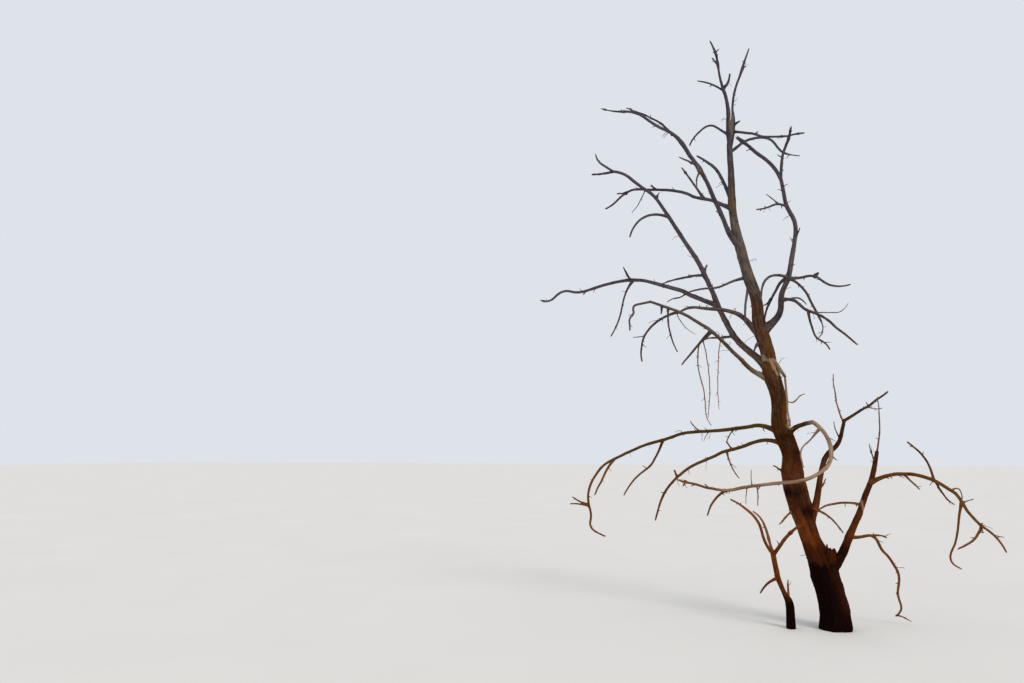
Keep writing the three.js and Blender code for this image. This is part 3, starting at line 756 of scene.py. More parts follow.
limbs, children = {}, {}
for row in LIMBS + TWIGS:
    name, parent, where, length, rise, bearing, radius = row
    limb = Limb()
    limb.name, limb.parent, limb.length = name, parent, length
    limb.radius = np.array(radius, float) / 1000
    limb.at = where if parent else 0.0
    limb.start = point_at(limbs[parent].stations, where) if parent else np.array([where[0], where[1], 0.0])
    limb.fine = walk(length, rise, bearing, limb.start)
    limb.stations = limb.fine[::FINE]
    limb.is_twig = name not in {r[0] for r in LIMBS}
    limbs[name] = limb
    limb.along = 3.7 * (len(limbs) % 13)
    if parent:
        children.setdefault(parent, []).append(limb)
        if where > 0.95:                         # the grain runs on into it
            limb.along = limbs[parent].along + limbs[parent].length


def radius_at(limb, t):
    return mix(limb.radius, t)


def kinked(limb, points, s, rng):
    """Small crooks at the old buds, zero at the base and where another limb carries on."""
    L = s[-1]
    r = float(limb.radius.mean())
    gap = np.clip(9 * r, 0.05, 0.30)
    at = [0.0]
    while at[-1] < L:
        at.append(at[-1] + gap * rng.uniform(0.6, 1.5))
    at = np.array(at)
    size = min(0.16 * r + 0.0010, 0.0032)
    offs = rng.normal(0, size, (len(at), 2))
    offs[0] = 0
    ends = any(c.at > 0.95 for c in children.get(limb.name, []))
    fade = np.clip(s / (2.5 * gap), 0, 1)
    if ends:
        fade = fade * np.clip((L - s) / (1.5 * gap), 0, 1)
    T, S, O = frames(points, limb.parent is None)
    a = np.interp(s, at, offs[:, 0]) * fade
    b = np.interp(s, at, offs[:, 1]) * fade
    return points + S * a[:, None] + O * b[:, None]


def ring_mesh(P, S, O, R, sides, jag=None, T=None):
    a = np.arange(sides) / sides * 2 * math.pi
    dirs = S[:, None, :] * np.cos(a)[None, :, None] + O[:, None, :] * np.sin(a)[None, :, None]
    V = P[:, None, :] + dirs * R[:, :, None]
    return V, a, dirs


def tube_faces(rings, sides, offset=0):
    i = np.arange(rings - 1)[:, None] * sides
    k = np.arange(sides)[None, :]
    k2 = (k + 1) % sides
    quads = np.stack([i + k, i + k2, i + sides + k2, i + sides + k], -1).reshape(-1, 4)
    return quads + offset


def build_object(name, verts, faces, attributes, material, smooth=True):
    mesh = bpy.data.meshes.new(name)
    mesh.from_pydata(verts.tolist(), [], faces)
    mesh.update()
    for key, values in attributes.items():
        values = np.asarray(values, float)
        kind = "FLOAT_VECTOR" if values.ndim == 2 else "FLOAT"
        layer = mesh.attributes.new(key, kind, "POINT")
        layer.data.foreach_set("vector" if values.ndim == 2 else "value", values.ravel())
    if smooth:
        mesh.polygons.foreach_set("use_smooth", np.ones(len(mesh.polygons), dtype=bool))
    mesh.validate()
    mesh.update()
    obj = bpy.data.objects.new(name, mesh)
    bpy.context.scene.collection.objects.link(obj)
    obj.data.materials.append(material)
    return obj


def bark_limb(limb, material, index):
    """A limb's own bark: taper, collar, swellings at its children, knots and fissures."""
    rng = np.random.default_rng(SEED + 31 * index)
    trunk = limb.name == "trunk"
    rooted = limb.parent is None
    step = TRUNK_STEP if trunk else MESH_STEP
    points, s = resampled(smoothed(limb.fine, 2), step)
    points = kinked(limb, points, s, rng)
    if trunk:                                    # the foot stands a little to one side
        points[:, 0] += 0.010 * np.clip(1 - (points[:, 2] / 0.7) ** 2, 0, 1)
    T, S, O = frames(points, rooted)
    L = s[-1]
    t = s / L
    r = radius_at(limb, t) * (1 - (1 - SLENDER.get(limb.name, 1.0)) * np.clip(t / 0.25, 0, 1))
    if limb.name in THIN_END:
        begin, keep = THIN_END[limb.name]
        r = r * (1 - (1 - keep) * np.clip((t - begin) / 0.06, 0, 1))
    sides = TRUNK_SIDES if trunk else int(np.clip(round(2 * math.pi * r[0] / 0.0052), 14, 44))
    a = np.arange(sides) / sides * 2 * math.pi
    A, SS = np.meshgrid(a, s)
    R0 = r[:, None] * np.ones((1, sides))

    # flare and lobes of the foot
    if rooted:
        out = FLARE_OUT if trunk else SHOOT_FLARE_OUT
        h = points[:, 2]
        away = S[:, 0][:, None] * np.cos(A) + O[:, 0][:, None] * np.sin(A)
        R0 = R0 + out * np.exp(-h / FLARE_HEIGHT)[:, None] * (1 + 0.6 * away if trunk else 1)
        if trunk:
            R0 = R0 * (1 + LOBE_DEPTH * np.exp(-h / (6 * FLARE_HEIGHT))[:, None] * np.cos(FLARE_LOBES * A + 0.7))
    # collar where it leaves its parent
    if not rooted and limb.at < 0.95 and limb.name != "crotch_stub":
        rp = float(radius_at(limbs[limb.parent], limb.at))
        rc = float(r[0])
        reach = np.exp(-np.maximum(s - rp, 0) / (2.4 * rc))
        R0 = R0 + (COLLAR * min(1.0, rp / rc) * rc * reach)[:, None]
    R = R0.copy()

    ca, sa = np.cos(A) * R0, np.sin(A) * R0
    twist = 0.55 * SS / max(L, 0.5) + 0.25 * noise(SS * 1.1, 0.3, 0.7, index)
    ct, st = np.cos(A + twist) * R0, np.sin(A + twist) * R0
    seed = SEED + index * 101
    rr = R0
    # slow swellings of the wood
    lump = noise(ca / (0.9 * rr.mean()) + 11, sa / (0.9 * rr.mean()), SS / (5.5 * rr.mean()), seed)
    R = (0.932 if trunk else 0.975) * R + (0.030 if trunk else 0.055) * R0 * lump
    if trunk:                                    # slimmer between the flare and the first crotch
        R = R * (1 - 0.065 * np.exp(-((points[:, 2] - 0.38) / 0.16) ** 2))[:, None]
    # sinews that run along the limb
    sinew = noise(ct / (0.45 * rr.mean()), st / (0.45 * rr.mean()), SS / (14 * rr.mean()), seed + 5)
    R = R + (0.045 if trunk else 0.060) * R0 * sinew
    # fissured bark
    u = 0.016 if trunk else 0.0085
    ridge = 1 - np.abs(fbm(ct / u, st / u, SS / (u * 7.5), seed + 9, 3)) * 2.4
    depth = np.clip(0.05 * R0, 0.0009, 0.0050)
    R = R + depth * (ridge - 0.4)
    crumb = fbm(ct / 0.0065, st / 0.0065, SS / 0.013, seed + 13, 2)
    R = R + np.clip(0.018 * R0, 0.0004, 0.0016) * crumb
    # painted shade: darker in the bark's fissures and hollows between sinews
    cavity = np.clip(0.55 + 0.5 * ridge * 0.8 + 0.18 * crumb + 0.22 * sinew, 0, 1.6)

    # swellings under its children and twigs
    knot_dark = np.zeros_like(R)
    dirs = S[:, None, :] * np.cos(a)[None, :, None] + O[:, None, :] * np.sin(a)[None, :, None]
    for child in children.get(limb.name, []):
        if child.at > 0.95:
            continue
        sc = child.at * L
        d = unit(child.fine[min(6, len(child.fine) - 1)] - child.fine[0])
        i = int(np.clip(round(child.at * (len(s) - 1)), 0, len(s) - 1))
        rc = float(child.radius[0])
        face = dirs @ unit(d - T[i] * (d @ T[i]))
        lean = float(d @ T[i])
        centre = sc + lean * float(r[i]) * 0.9
        w = max(2.0 * rc, 0.010)
        bump = np.exp(-((SS - centre) / (1.5 * w)) ** 2) * np.clip(face, 0, 1) ** max(2.0, 0.6 * float(r[i]) / rc)
        R = R + np.clip(0.55 * rc, 0, (0.05 if trunk else 0.085) * float(r[i]) + 0.0025) * bump
        knot_dark += 0.5 * bump
    # knots left by shed twigs
    count = rng.poisson(L / (0.22 if trunk else 0.17) * (1.6 if trunk else 1.0))
    for _ in range(count):
        sc, ac = rng.uniform(0.06, 0.97) * L, rng.uniform(0, 2 * math.pi)
        rl = float(np.interp(sc, s, r))
        w = rl * rng.uniform(0.22, 0.42) if trunk else rl * rng.uniform(0.5, 0.95)
        da = np.angle(np.exp(1j * (A - ac))) * rl
        q = np.sqrt((da / w) ** 2 + ((SS - sc) / (1.25 * w)) ** 2)
        bump = np.exp(-q ** 2)
        dent = np.exp(-(q / 0.38) ** 2)
        R = R + (0.32 * w * bump - 0.26 * w * dent) * (1 if trunk else 0.75)
        knot_dark += 0.8 * dent + 0.15 * bump

    knob_bare_and_highlight = np.zeros_like(R)
    for where, height, reach, facing, dark, bare_and_highlight_part in KNOBS.get(limb.name, []):
        if facing is None:
            bump = np.exp(-((SS - where * L) / reach) ** 2)
        else:
            bump = np.exp(-((SS - where * L) / reach) ** 4) * np.clip(dirs @ unit(np.array(facing)), 0, 1) ** 1.5
        R = R + height * bump
        knot_dark += dark * bump
        knob_bare_and_highlight = np.maximum(knob_bare_and_highlight, bare_and_highlight_part * bump)

    if trunk:
        P = points[:, None, :] + dirs * R[:, :, None]
        for centre, reach, height in BULGES:
            R = R + height * np.exp(-(np.linalg.norm(P - np.array(centre), axis=2) / reach) ** 2)
        for centre, reach in SOCKETS:
            q = np.linalg.norm(P - np.array(centre), axis=2) / reach
            knot_dark += 1.1 * np.exp(-q ** 2)
            R = R - 0.10 * reach * np.exp(-(q / 0.6) ** 2)

    ends = any(c.at > 0.95 for c in children.get(limb.name, []))
    V = points[:, None, :] + dirs * R[:, :, None]
    tip = R[-1].mean()
    if ends:
        # rounded shoulder inside the limb that carries on
        close = [(0.35, 0.93), (0.65, 0.72), (0.85, 0.40)]
    else:
        close = [(0.20, 0.86), (0.35, 0.58)]
    extra, tone_rows = [], []
    for out, keep in close:
        ring = points[-1] + T[-1] * out * tip + dirs[-1] * (R[-1] * keep)[:, None]
        if not ends:                             # splintered end
            ring = ring + T[-1] * (rng.uniform(-0.25, 1.15, sides) ** 3 * min(1.7 * tip, 0.016))[:, None]
        extra.append(ring)
    V = np.concatenate([V, np.array(extra)], 0)
    grow = len(extra)
    rings = V.shape[0]
    verts = V.reshape(-1, 3)
    if rooted:
        verts[:sides, 2] = 0.0
        verts[:, 2] = np.maximum(verts[:, 2], 0.0)
    faces = tube_faces(rings, sides).tolist()
    base_c = V[0].mean(0)
    tip_c = V[-1].mean(0) - (0 if ends else 1) * T[-1] * 0.5 * tip
    verts = np.vstack([verts, base_c, tip_c])
    b0, b1 = rings * sides, rings * sides + 1
    faces += [[b0, (k + 1) % sides, k] for k in range(sides)]
    end = (rings - 1) * sides
    faces += [[b1, end + k, end + (k + 1) % sides] for k in range(sides)]

    def column(values):
        rows = np.concatenate([values] + [values[-1:]] * grow, 0).reshape(-1)
        return np.concatenate([rows, [values[0].mean(), values[-1].mean()]])

    grain = np.stack([column(ct), column(st), column(SS + limb.along)], -1)
    level = mix(BARE_PART.get(limb.name, [0, 0]), SS / L)
    bare = np.clip(level + 0.55 * level * (1 - level) * noise(ct / 0.02, st / 0.02, SS / 0.05, seed + 21) * 2, 0, 1)
    P = points[:, None, :] + dirs * R[:, :, None]
    stain = np.zeros_like(R)
    rag = noise(ct / 0.05, st / 0.05, SS / 0.22, seed + 23) + 0.5 * noise(ct / 0.015, st / 0.015, SS / 0.09, seed + 25)
    if trunk:
        right, z = dirs[:, :, 0], P[:, :, 2]
        # darker towards the foot
        stain = np.clip((0.635 - z + 0.04 * rag) / 0.12, 0, 1)
        # the foot's right side is kept lighter above 0.10 m: a painted lit edge
        stain = stain * (1 - 0.34 * np.clip(1.5 * right - 0.35, 0, 1) * np.clip((z - 0.10) / 0.08, 0, 1))
        stain = np.maximum(stain, np.clip((0.76 - z + 0.05 * rag) / 0.14, 0, 0.60))
        # dark patches, partly dark bark and partly painted shade: the curl's shadow as a band all round, and painted
        # shade on the right side below it
        band = 0.86 * np.exp(-((z - 1.142 + 0.03 * rag) / 0.062) ** 2) * np.clip(0.95 - 0.35 * right + 0.15 * rag, 0, 1)
        mild = 0.42 * np.exp(-((z - 1.06) / 0.07) ** 2) * np.clip(1 + 0.35 * rag, 0, 1.4)
        edge = -0.05 + 1.2 * np.clip(1.0 - z, 0, 1)
        side = 0.90 * np.exp(-((z - 0.968 + 0.02 * rag) / 0.090) ** 2) * np.clip(3 * (right - edge) + 0.5 + 0.35 * rag, 0, 1)
        low = np.maximum(np.maximum(band, mild), side)
        # a lighter painted shade on the right side higher up, beside the curl, partly dark bark
        high = np.exp(-((z - 1.42) / 0.20) ** 2) * np.clip(1.3 * right + 0.05 + 0.35 * rag, 0, 1)
        stain = np.maximum(stain, np.maximum(low, 0.45 * high))
    elif limb.name == "base_shoot":
        stain = np.clip((0.27 - P[:, :, 2] + 0.015 * rag) / 0.05, 0, 1)
    elif limb.name == "crotch_stub":
        stain = np.clip(0.96 - (P[:, :, 2] - 0.53) / 0.10 + 0.10 * rag, 0.66 + 0.10 * rag, 0.97)
    elif limb.name == "right_low_bough":
        stain = np.clip((0.47 - SS + 0.05 * rag) / 0.16, 0, 0.85)
    elif limb.name in DARK_PART:
        stain = mix(DARK_PART[limb.name], SS / L) * np.clip(1 + 0.3 * rag, 0, 1.4)
    for names, line, width, how in STRIPS:
        if limb.name in names:
            far = np.full(R.shape, 9.0)
            for (x0, z0), (x1, z1) in zip(line, line[1:]):
                ex, ez = x1 - x0, z1 - z0
                along = np.clip(((P[:, :, 0] - x0) * ex + (P[:, :, 2] - z0) * ez) / (ex * ex + ez * ez), 0, 1)
                far = np.minimum(far, np.hypot(P[:, :, 0] - x0 - along * ex, P[:, :, 2] - z0 - along * ez))
            bare_and_highlight_part = np.clip((width - far + 0.42 * width * rag) / (0.16 * width), 0, 1) * np.clip(0.7 - dirs[:, :, 1] * 3, 0, 1)
            bare = np.maximum(bare, how * bare_and_highlight_part)
    if knob_bare_and_highlight.any():
        bare = np.maximum(bare, knob_bare_and_highlight * np.clip(1 + 0.5 * rag, 0.3, 1.5))
    broken = np.zeros_like(R)
    broken[-2:] = 0 if ends or limb.name == "crotch_stub" else 0.15
    return build_object(limb.name + "_bark", verts, faces, {
        "grain": grain, "cavity": column(np.clip(cavity, 0, 1.5)), "knot": column(np.clip(knot_dark, 0, 1)),
        "bare": column(np.clip(bare + broken, 0, 1)), "stain": column(np.clip(stain, 0, 1)),
    }, material)


# ---- twigs: thin tubes joined into a few pieces ----
class Bundle:
    """Many small tapering tubes as one mesh."""

    def __init__(self):
        self.verts, self.faces, self.tone, self.grain, self.count = [], [], [], [], 0

    def tube(self, points, radii, rng, sides=7, tone=0.5, rough=0.10):
        T, S, O = frames(points, False)
        a = np.arange(sides) / sides * 2 * math.pi
        s = np.concatenate([[0], np.cumsum(np.linalg.norm(np.diff(points, axis=0), axis=1))])
        wobble = 1 + rough * rng.normal(0, 1, (len(points), sides))
        R = np.asarray(radii, float)[:, None] * wobble
        dirs = S[:, None, :] * np.cos(a)[None, :, None] + O[:, None, :] * np.sin(a)[None, :, None]
        V = points[:, None, :] + dirs * R[:, :, None]
        n = len(points)
        tip = points[-1] + T[-1] * radii[-1] * 1.2
        verts = np.vstack([V.reshape(-1, 3), points[0], tip])
        verts[:, 2] = np.maximum(verts[:, 2], 0.004)
        # fibres that run along the twig, darker in its fork
        stripe = rng.normal(0, 0.20, sides)[None, :] + 0.12 * noise(s[:, None] / 0.035, np.arange(sides)[None, :] * 0.7, 0.5, sides)
        tones = 0.55 + stripe - 0.30 * np.exp(-s / 0.012)[:, None]
        self.tone.append(np.concatenate([np.clip(tones, 0, 1).reshape(-1), [0.4, 0.6]]))
        faces = tube_faces(n, sides, self.count).tolist()
        b0, b1 = self.count + n * sides, self.count + n * sides + 1
        end = self.count + (n - 1) * sides
        faces += [[b0, self.count + (k + 1) % sides, self.count + k] for k in range(sides)]
        faces += [[b1, end + k, end + (k + 1) % sides] for k in range(sides)]
        self.verts.append(verts)
        self.faces += faces
        self.count += len(verts)
        return T, S, O

    def triangles(self):
        return sum(2 if len(f) == 4 else 1 for f in self.faces)


def crooked(start, direction, length, droop, rng, steps, crook=0.16):
    """A twig's path: it bends a little at each bud and sags or lifts along its length."""
    d = unit(direction)
    points = [start]
    turn = rng.normal(0, 0.10, 3)
    for _ in range(steps):
        d = unit(d + turn * 0.5 + rng.normal(0, crook, 3) + np.array([0, 0, -droop / steps]))
        points.append(points[-1] + d * length / steps)
    return np.array(points)


def sprout(bundle, start, direction, length, radius, droop, rng, level, tone):
    """Seeded branching: each twig carries shorter ones on alternate sides."""
    steps = max(4, int(length / 0.022))
    path = crooked(start, direction, length, droop, rng, steps)
    t = np.linspace(0, 1, steps + 1)
    radii = radius * (1 - 0.62 * t ** 0.9) + 0.0003
    radii[0] *= 1.5
    radii = radii * (1 + 0.16 * (rng.random(steps + 1) > 0.72))
    bundle.tube(path, radii, rng, sides=6 if radius > 0.003 else 5)
    if level <= 0:
        return
    count = rng.poisson(length / 0.075)
    flip = rng.uniform(0, 2 * math.pi)
    for k in range(count):
        u = rng.uniform(0.18, 0.95)
        i = min(int(u * steps), steps - 1)
        d = unit(path[i + 1] - path[i])
        other = unit(np.cross(d, [math.cos(flip), math.sin(flip), 0.31]))
        flip += 2.4 + rng.normal(0, 0.3)
        up = np.cross(d, other)
        out = unit(other * math.cos(flip) + up * math.sin(flip))
        angle = math.radians(rng.uniform(35, 70))
        sub = length * rng.uniform(0.22, 0.5) * (1 - 0.4 * u)
        if sub < 0.012:
            continue
        at = path[i] + (path[i + 1] - path[i]) * (u * steps - i)
        sprout(bundle, at, d * math.cos(angle) + out * math.sin(angle), sub,
               max(0.0010, radius * (1 - 0.6 * u) * 0.62), droop, rng, level - 1, tone)


KINDS = ("twigs_high", "twigs_low", "twigs_red", "twigs_pale", "spurs_high", "spurs_low")
CHANGE = 2.25                # height in metres where the low browns give way to greys
RED = {"tw_l7", "tw_l7c", "tw_l7d", "tw_trunk_3", "tw_trunk_4", "tw_s1b"}
PALE_TWIGS = {"tw_p1", "tw_p2", "tw_p3"}
NO_TWIGS = {"trunk_stub", "crotch_stub", "tw_p1", "tw_p2", "tw_p3", "tw_stub", "tw_trunk"}
DEFAULT_HABIT = (1.1, 0.07, 0.5)
# twigs per metre, their size and how they droop
HABIT = {
    "trunk": (1.6, 0.10, 0.8),
    "left_low_bough": (4.0, 0.13, 1.6),
    "left_low_hanger": (4.0, 0.12, 1.6),
    "left_low_droop": (2.5, 0.10, 1.4),
    "left_knee_bough": (2.5, 0.10, 1.2),
    "left_middle_bough": (2.0, 0.10, 1.0),
    "left_drooping_bough": (2.2, 0.10, 1.2),
    "right_low_arm": (2.6, 0.10, 0.8),
    "right_bough_low": (2.2, 0.10, 1.0),
    "left_crown_bough": (2.0, 0.09, 0.3),
    "curl_return": (1.6, 0.09, 1.2),
}


def twig_bundles():
    bundles = {kind: Bundle() for kind in KINDS}
    rng = np.random.default_rng(SEED + 9001)
    # the main twigs, each with its own crooks
    for row in TWIGS:
        limb = limbs[row[0]]
        points, s = resampled(smoothed(limb.fine, 1), 0.012)
        points = kinked(limb, points, s, rng)
        t = s / s[-1]
        r = radius_at(limb, t)
        rp = float(radius_at(limbs[limb.parent], limb.at))
        if row[0] == "tw_p3":                    # a strand that carries on from its limb
            pass
        elif row[0] in PALE_TWIGS:               # a torn strip, narrow where it hangs
            r = r * (1 - 0.45 * np.exp(-s / 0.02))
        else:
            r = r * (1 + 0.5 * np.exp(-np.maximum(s - rp, 0) / (2.0 * r[0])))
        r = r * (1 + 0.20 * np.exp(-((s[:, None] - rng.uniform(0, s[-1], 5)[None, :]) / (1.6 * r.mean())) ** 2).sum(1))
        high = limb.fine[0][2] > CHANGE
        kind = "twigs_red" if row[0] in RED else "twigs_pale" if row[0] in PALE_TWIGS else "twigs_high" if high else "twigs_low"
        bundles[kind].tube(points, r, rng, sides=9, rough=0.05)
    # branching twigs and short spurs all over the limbs
    every = [l for l in limbs.values() if l.name not in NO_TWIGS]
    for limb in every:
        lr = np.random.default_rng(SEED + 500 + sum(ord(c) * (i + 3) for i, c in enumerate(limb.name)))
        L = limb.length
        trunk = limb.name == "trunk"
        dense, size, droop = HABIT.get(limb.name, DEFAULT_HABIT)
        for _ in range(lr.poisson(L * dense)):
            u = lr.uniform(0.30, 0.99) if not trunk else lr.uniform(0.35, 0.985)
            i = int(u * (len(limb.fine) - 2))
            p = limb.fine[i]
            d = unit(limb.fine[i + 1] - p)
            r = float(radius_at(limb, u))
            z = lr.normal(0, 1, 3)
            out = unit(z - d * (z @ d))
            angle = math.radians(lr.uniform(38, 80))
            direction = d * math.cos(angle) + out * math.sin(angle)
            length = size * lr.uniform(0.35, 1.25) * (1.1 - 0.4 * u)
            kind = "twigs_high" if p[2] > CHANGE else "twigs_low"
            sprout(bundles[kind], p + out * r * 0.5, direction, length + r, lr.uniform(0.0017, 0.0030), droop, lr, 1 + (length > 0.12), 0.5)
        for _ in range(lr.poisson(L * (3.0 if trunk else 4.5))):
            u = lr.uniform(0.08, 0.98)
            i = int(u * (len(limb.fine) - 2))
            p = limb.fine[i]
            if p[2] < 0.25:
                continue
            d = unit(limb.fine[i + 1] - p)
            r = float(radius_at(limb, u))
            z = lr.normal(0, 1, 3)
            out = unit(z - d * (z @ d))
            angle = math.radians(lr.uniform(35, 80))
            direction = d * math.cos(angle) + out * math.sin(angle)
            length = lr.uniform(0.012, 0.045)
            w = min(lr.uniform(0.0022, 0.0048), 0.45 * r)
            steps = 4
            path = crooked(p + out * r * 0.5, direction, length + 0.5 * r, 0, lr, steps, 0.10)
            radii = w * np.array([1.7, 1.15, 0.95, 0.8, 0.55])
            bundles["spurs_high" if p[2] > CHANGE else "spurs_low"].tube(path, radii, lr, sides=7, rough=0.08)
    return bundles


# ---- materials, all of nodes ----
def node_tree(name):
    material = bpy.data.materials.new(name)
    material.use_nodes = True
    tree = material.node_tree
    tree.nodes.clear()
    out = tree.nodes.new("ShaderNodeOutputMaterial")
    shader = tree.nodes.new("ShaderNodeBsdfPrincipled")
    tree.links.new(shader.outputs[0], out.inputs["Surface"])
    return material, tree, shader


def add(tree, kind, inputs=(), **settings):
    node = tree.nodes.new(kind)
    for key, value in settings.items():
        setattr(node, key, value)
    for key, value in dict(inputs).items():
        if isinstance(value, bpy.types.NodeSocket):
            tree.links.new(value, node.inputs[key])
        else:
            node.inputs[key].default_value = value
    return node


def ramp(tree, fac, stops, interpolation="LINEAR"):
    node = tree.nodes.new("ShaderNodeValToRGB")
    node.color_ramp.interpolation = interpolation
    elements = node.color_ramp.elements
    while len(elements) < len(stops):
        elements.new(0.5)
    for element, (place, colour) in zip(elements, stops):
        element.position = place
        element.color = (*colour, 1) if len(colour) == 3 else colour
    tree.links.new(fac, node.inputs[0])
    return node.outputs[0]


def blend(tree, fac, a, b, how="MIX"):
    node = tree.nodes.new("ShaderNodeMix")
    node.data_type = "RGBA"
    node.blend_type = how
    for socket, value in ((node.inputs[0], fac), (node.inputs[6], a), (node.inputs[7], b)):
        if isinstance(value, bpy.types.NodeSocket):
            tree.links.new(value, socket)
        elif isinstance(value, (int, float)):
            socket.default_value = value
        else:
            socket.default_value = (*value, 1)
    return node.outputs[2]


def maths(tree, how, a, b=0.0, clamp=False):
    node = tree.nodes.new("ShaderNodeMath")
    node.operation = how
    node.use_clamp = clamp
    for socket, value in zip(node.inputs, (a, b)):
        if isinstance(value, bpy.types.NodeSocket):
            tree.links.new(value, socket)
        else:
            socket.default_value = value
    return node.outputs[0]


def attribute(tree, name):
    node = tree.nodes.new("ShaderNodeAttribute")
    node.attribute_name = name
    return node


def linear(r, g, b):
    """Display colour 0-255 to the linear colour of a surface seen in this light."""
    out = []
    for c in (r, g, b):
        c = c / 255
        c = c / 12.92 if c <= 0.04045 else ((c + 0.055) / 1.055) ** 2.4
        out.append(max(c - VEIL, 0.0008) / GAIN)
    return tuple(out)


VEIL, GAIN = 0.0015, 0.62
HEIGHT_TOP = 5.6
# bark colours from the ground up: height in metres and colour
TRUNK_BARK = [
    (0.00, linear(62, 28, 12)), (0.45, linear(64, 28, 12)), (0.72, linear(76, 38, 15)), (0.99, linear(72, 38, 19)),
    (1.34, linear(64, 35, 19)), (1.55, linear(47, 23, 8)), (1.80, linear(61, 37, 20)), (2.02, linear(54, 35, 19)),
    (2.25, linear(72, 47, 25)), (2.55, linear(75, 49, 34)), (2.82, linear(62, 45, 36)), (3.12, linear(78, 69, 60)),
    (3.42, linear(77, 69, 62)), (3.75, linear(69, 57, 49)), (4.05, linear(61, 51, 47)), (4.40, linear(53, 50, 56)),
]
LIMB_BARK = [
    (0.00, linear(100, 64, 34)), (0.80, linear(88, 55, 27)), (1.20, linear(84, 54, 27)), (1.60, linear(67, 48, 20)),
    (2.15, linear(66, 48, 28)), (2.60, linear(68, 58, 52)), (3.20, linear(66, 60, 62)), (3.90, linear(62, 58, 63)),
    (4.50, linear(58, 54, 60)), (5.50, linear(54, 52, 58)),
]
SHOOT_BARK = [(0.00, linear(66, 32, 12)), (0.40, linear(68, 34, 11)), (0.80, linear(94, 52, 19)), (1.40, linear(92, 56, 28))]
# near-black, used for the dark foot and for painted shade
DARKENING_AND_SHADE_COLOUR = (0.0020, 0.0007, 0.0008)


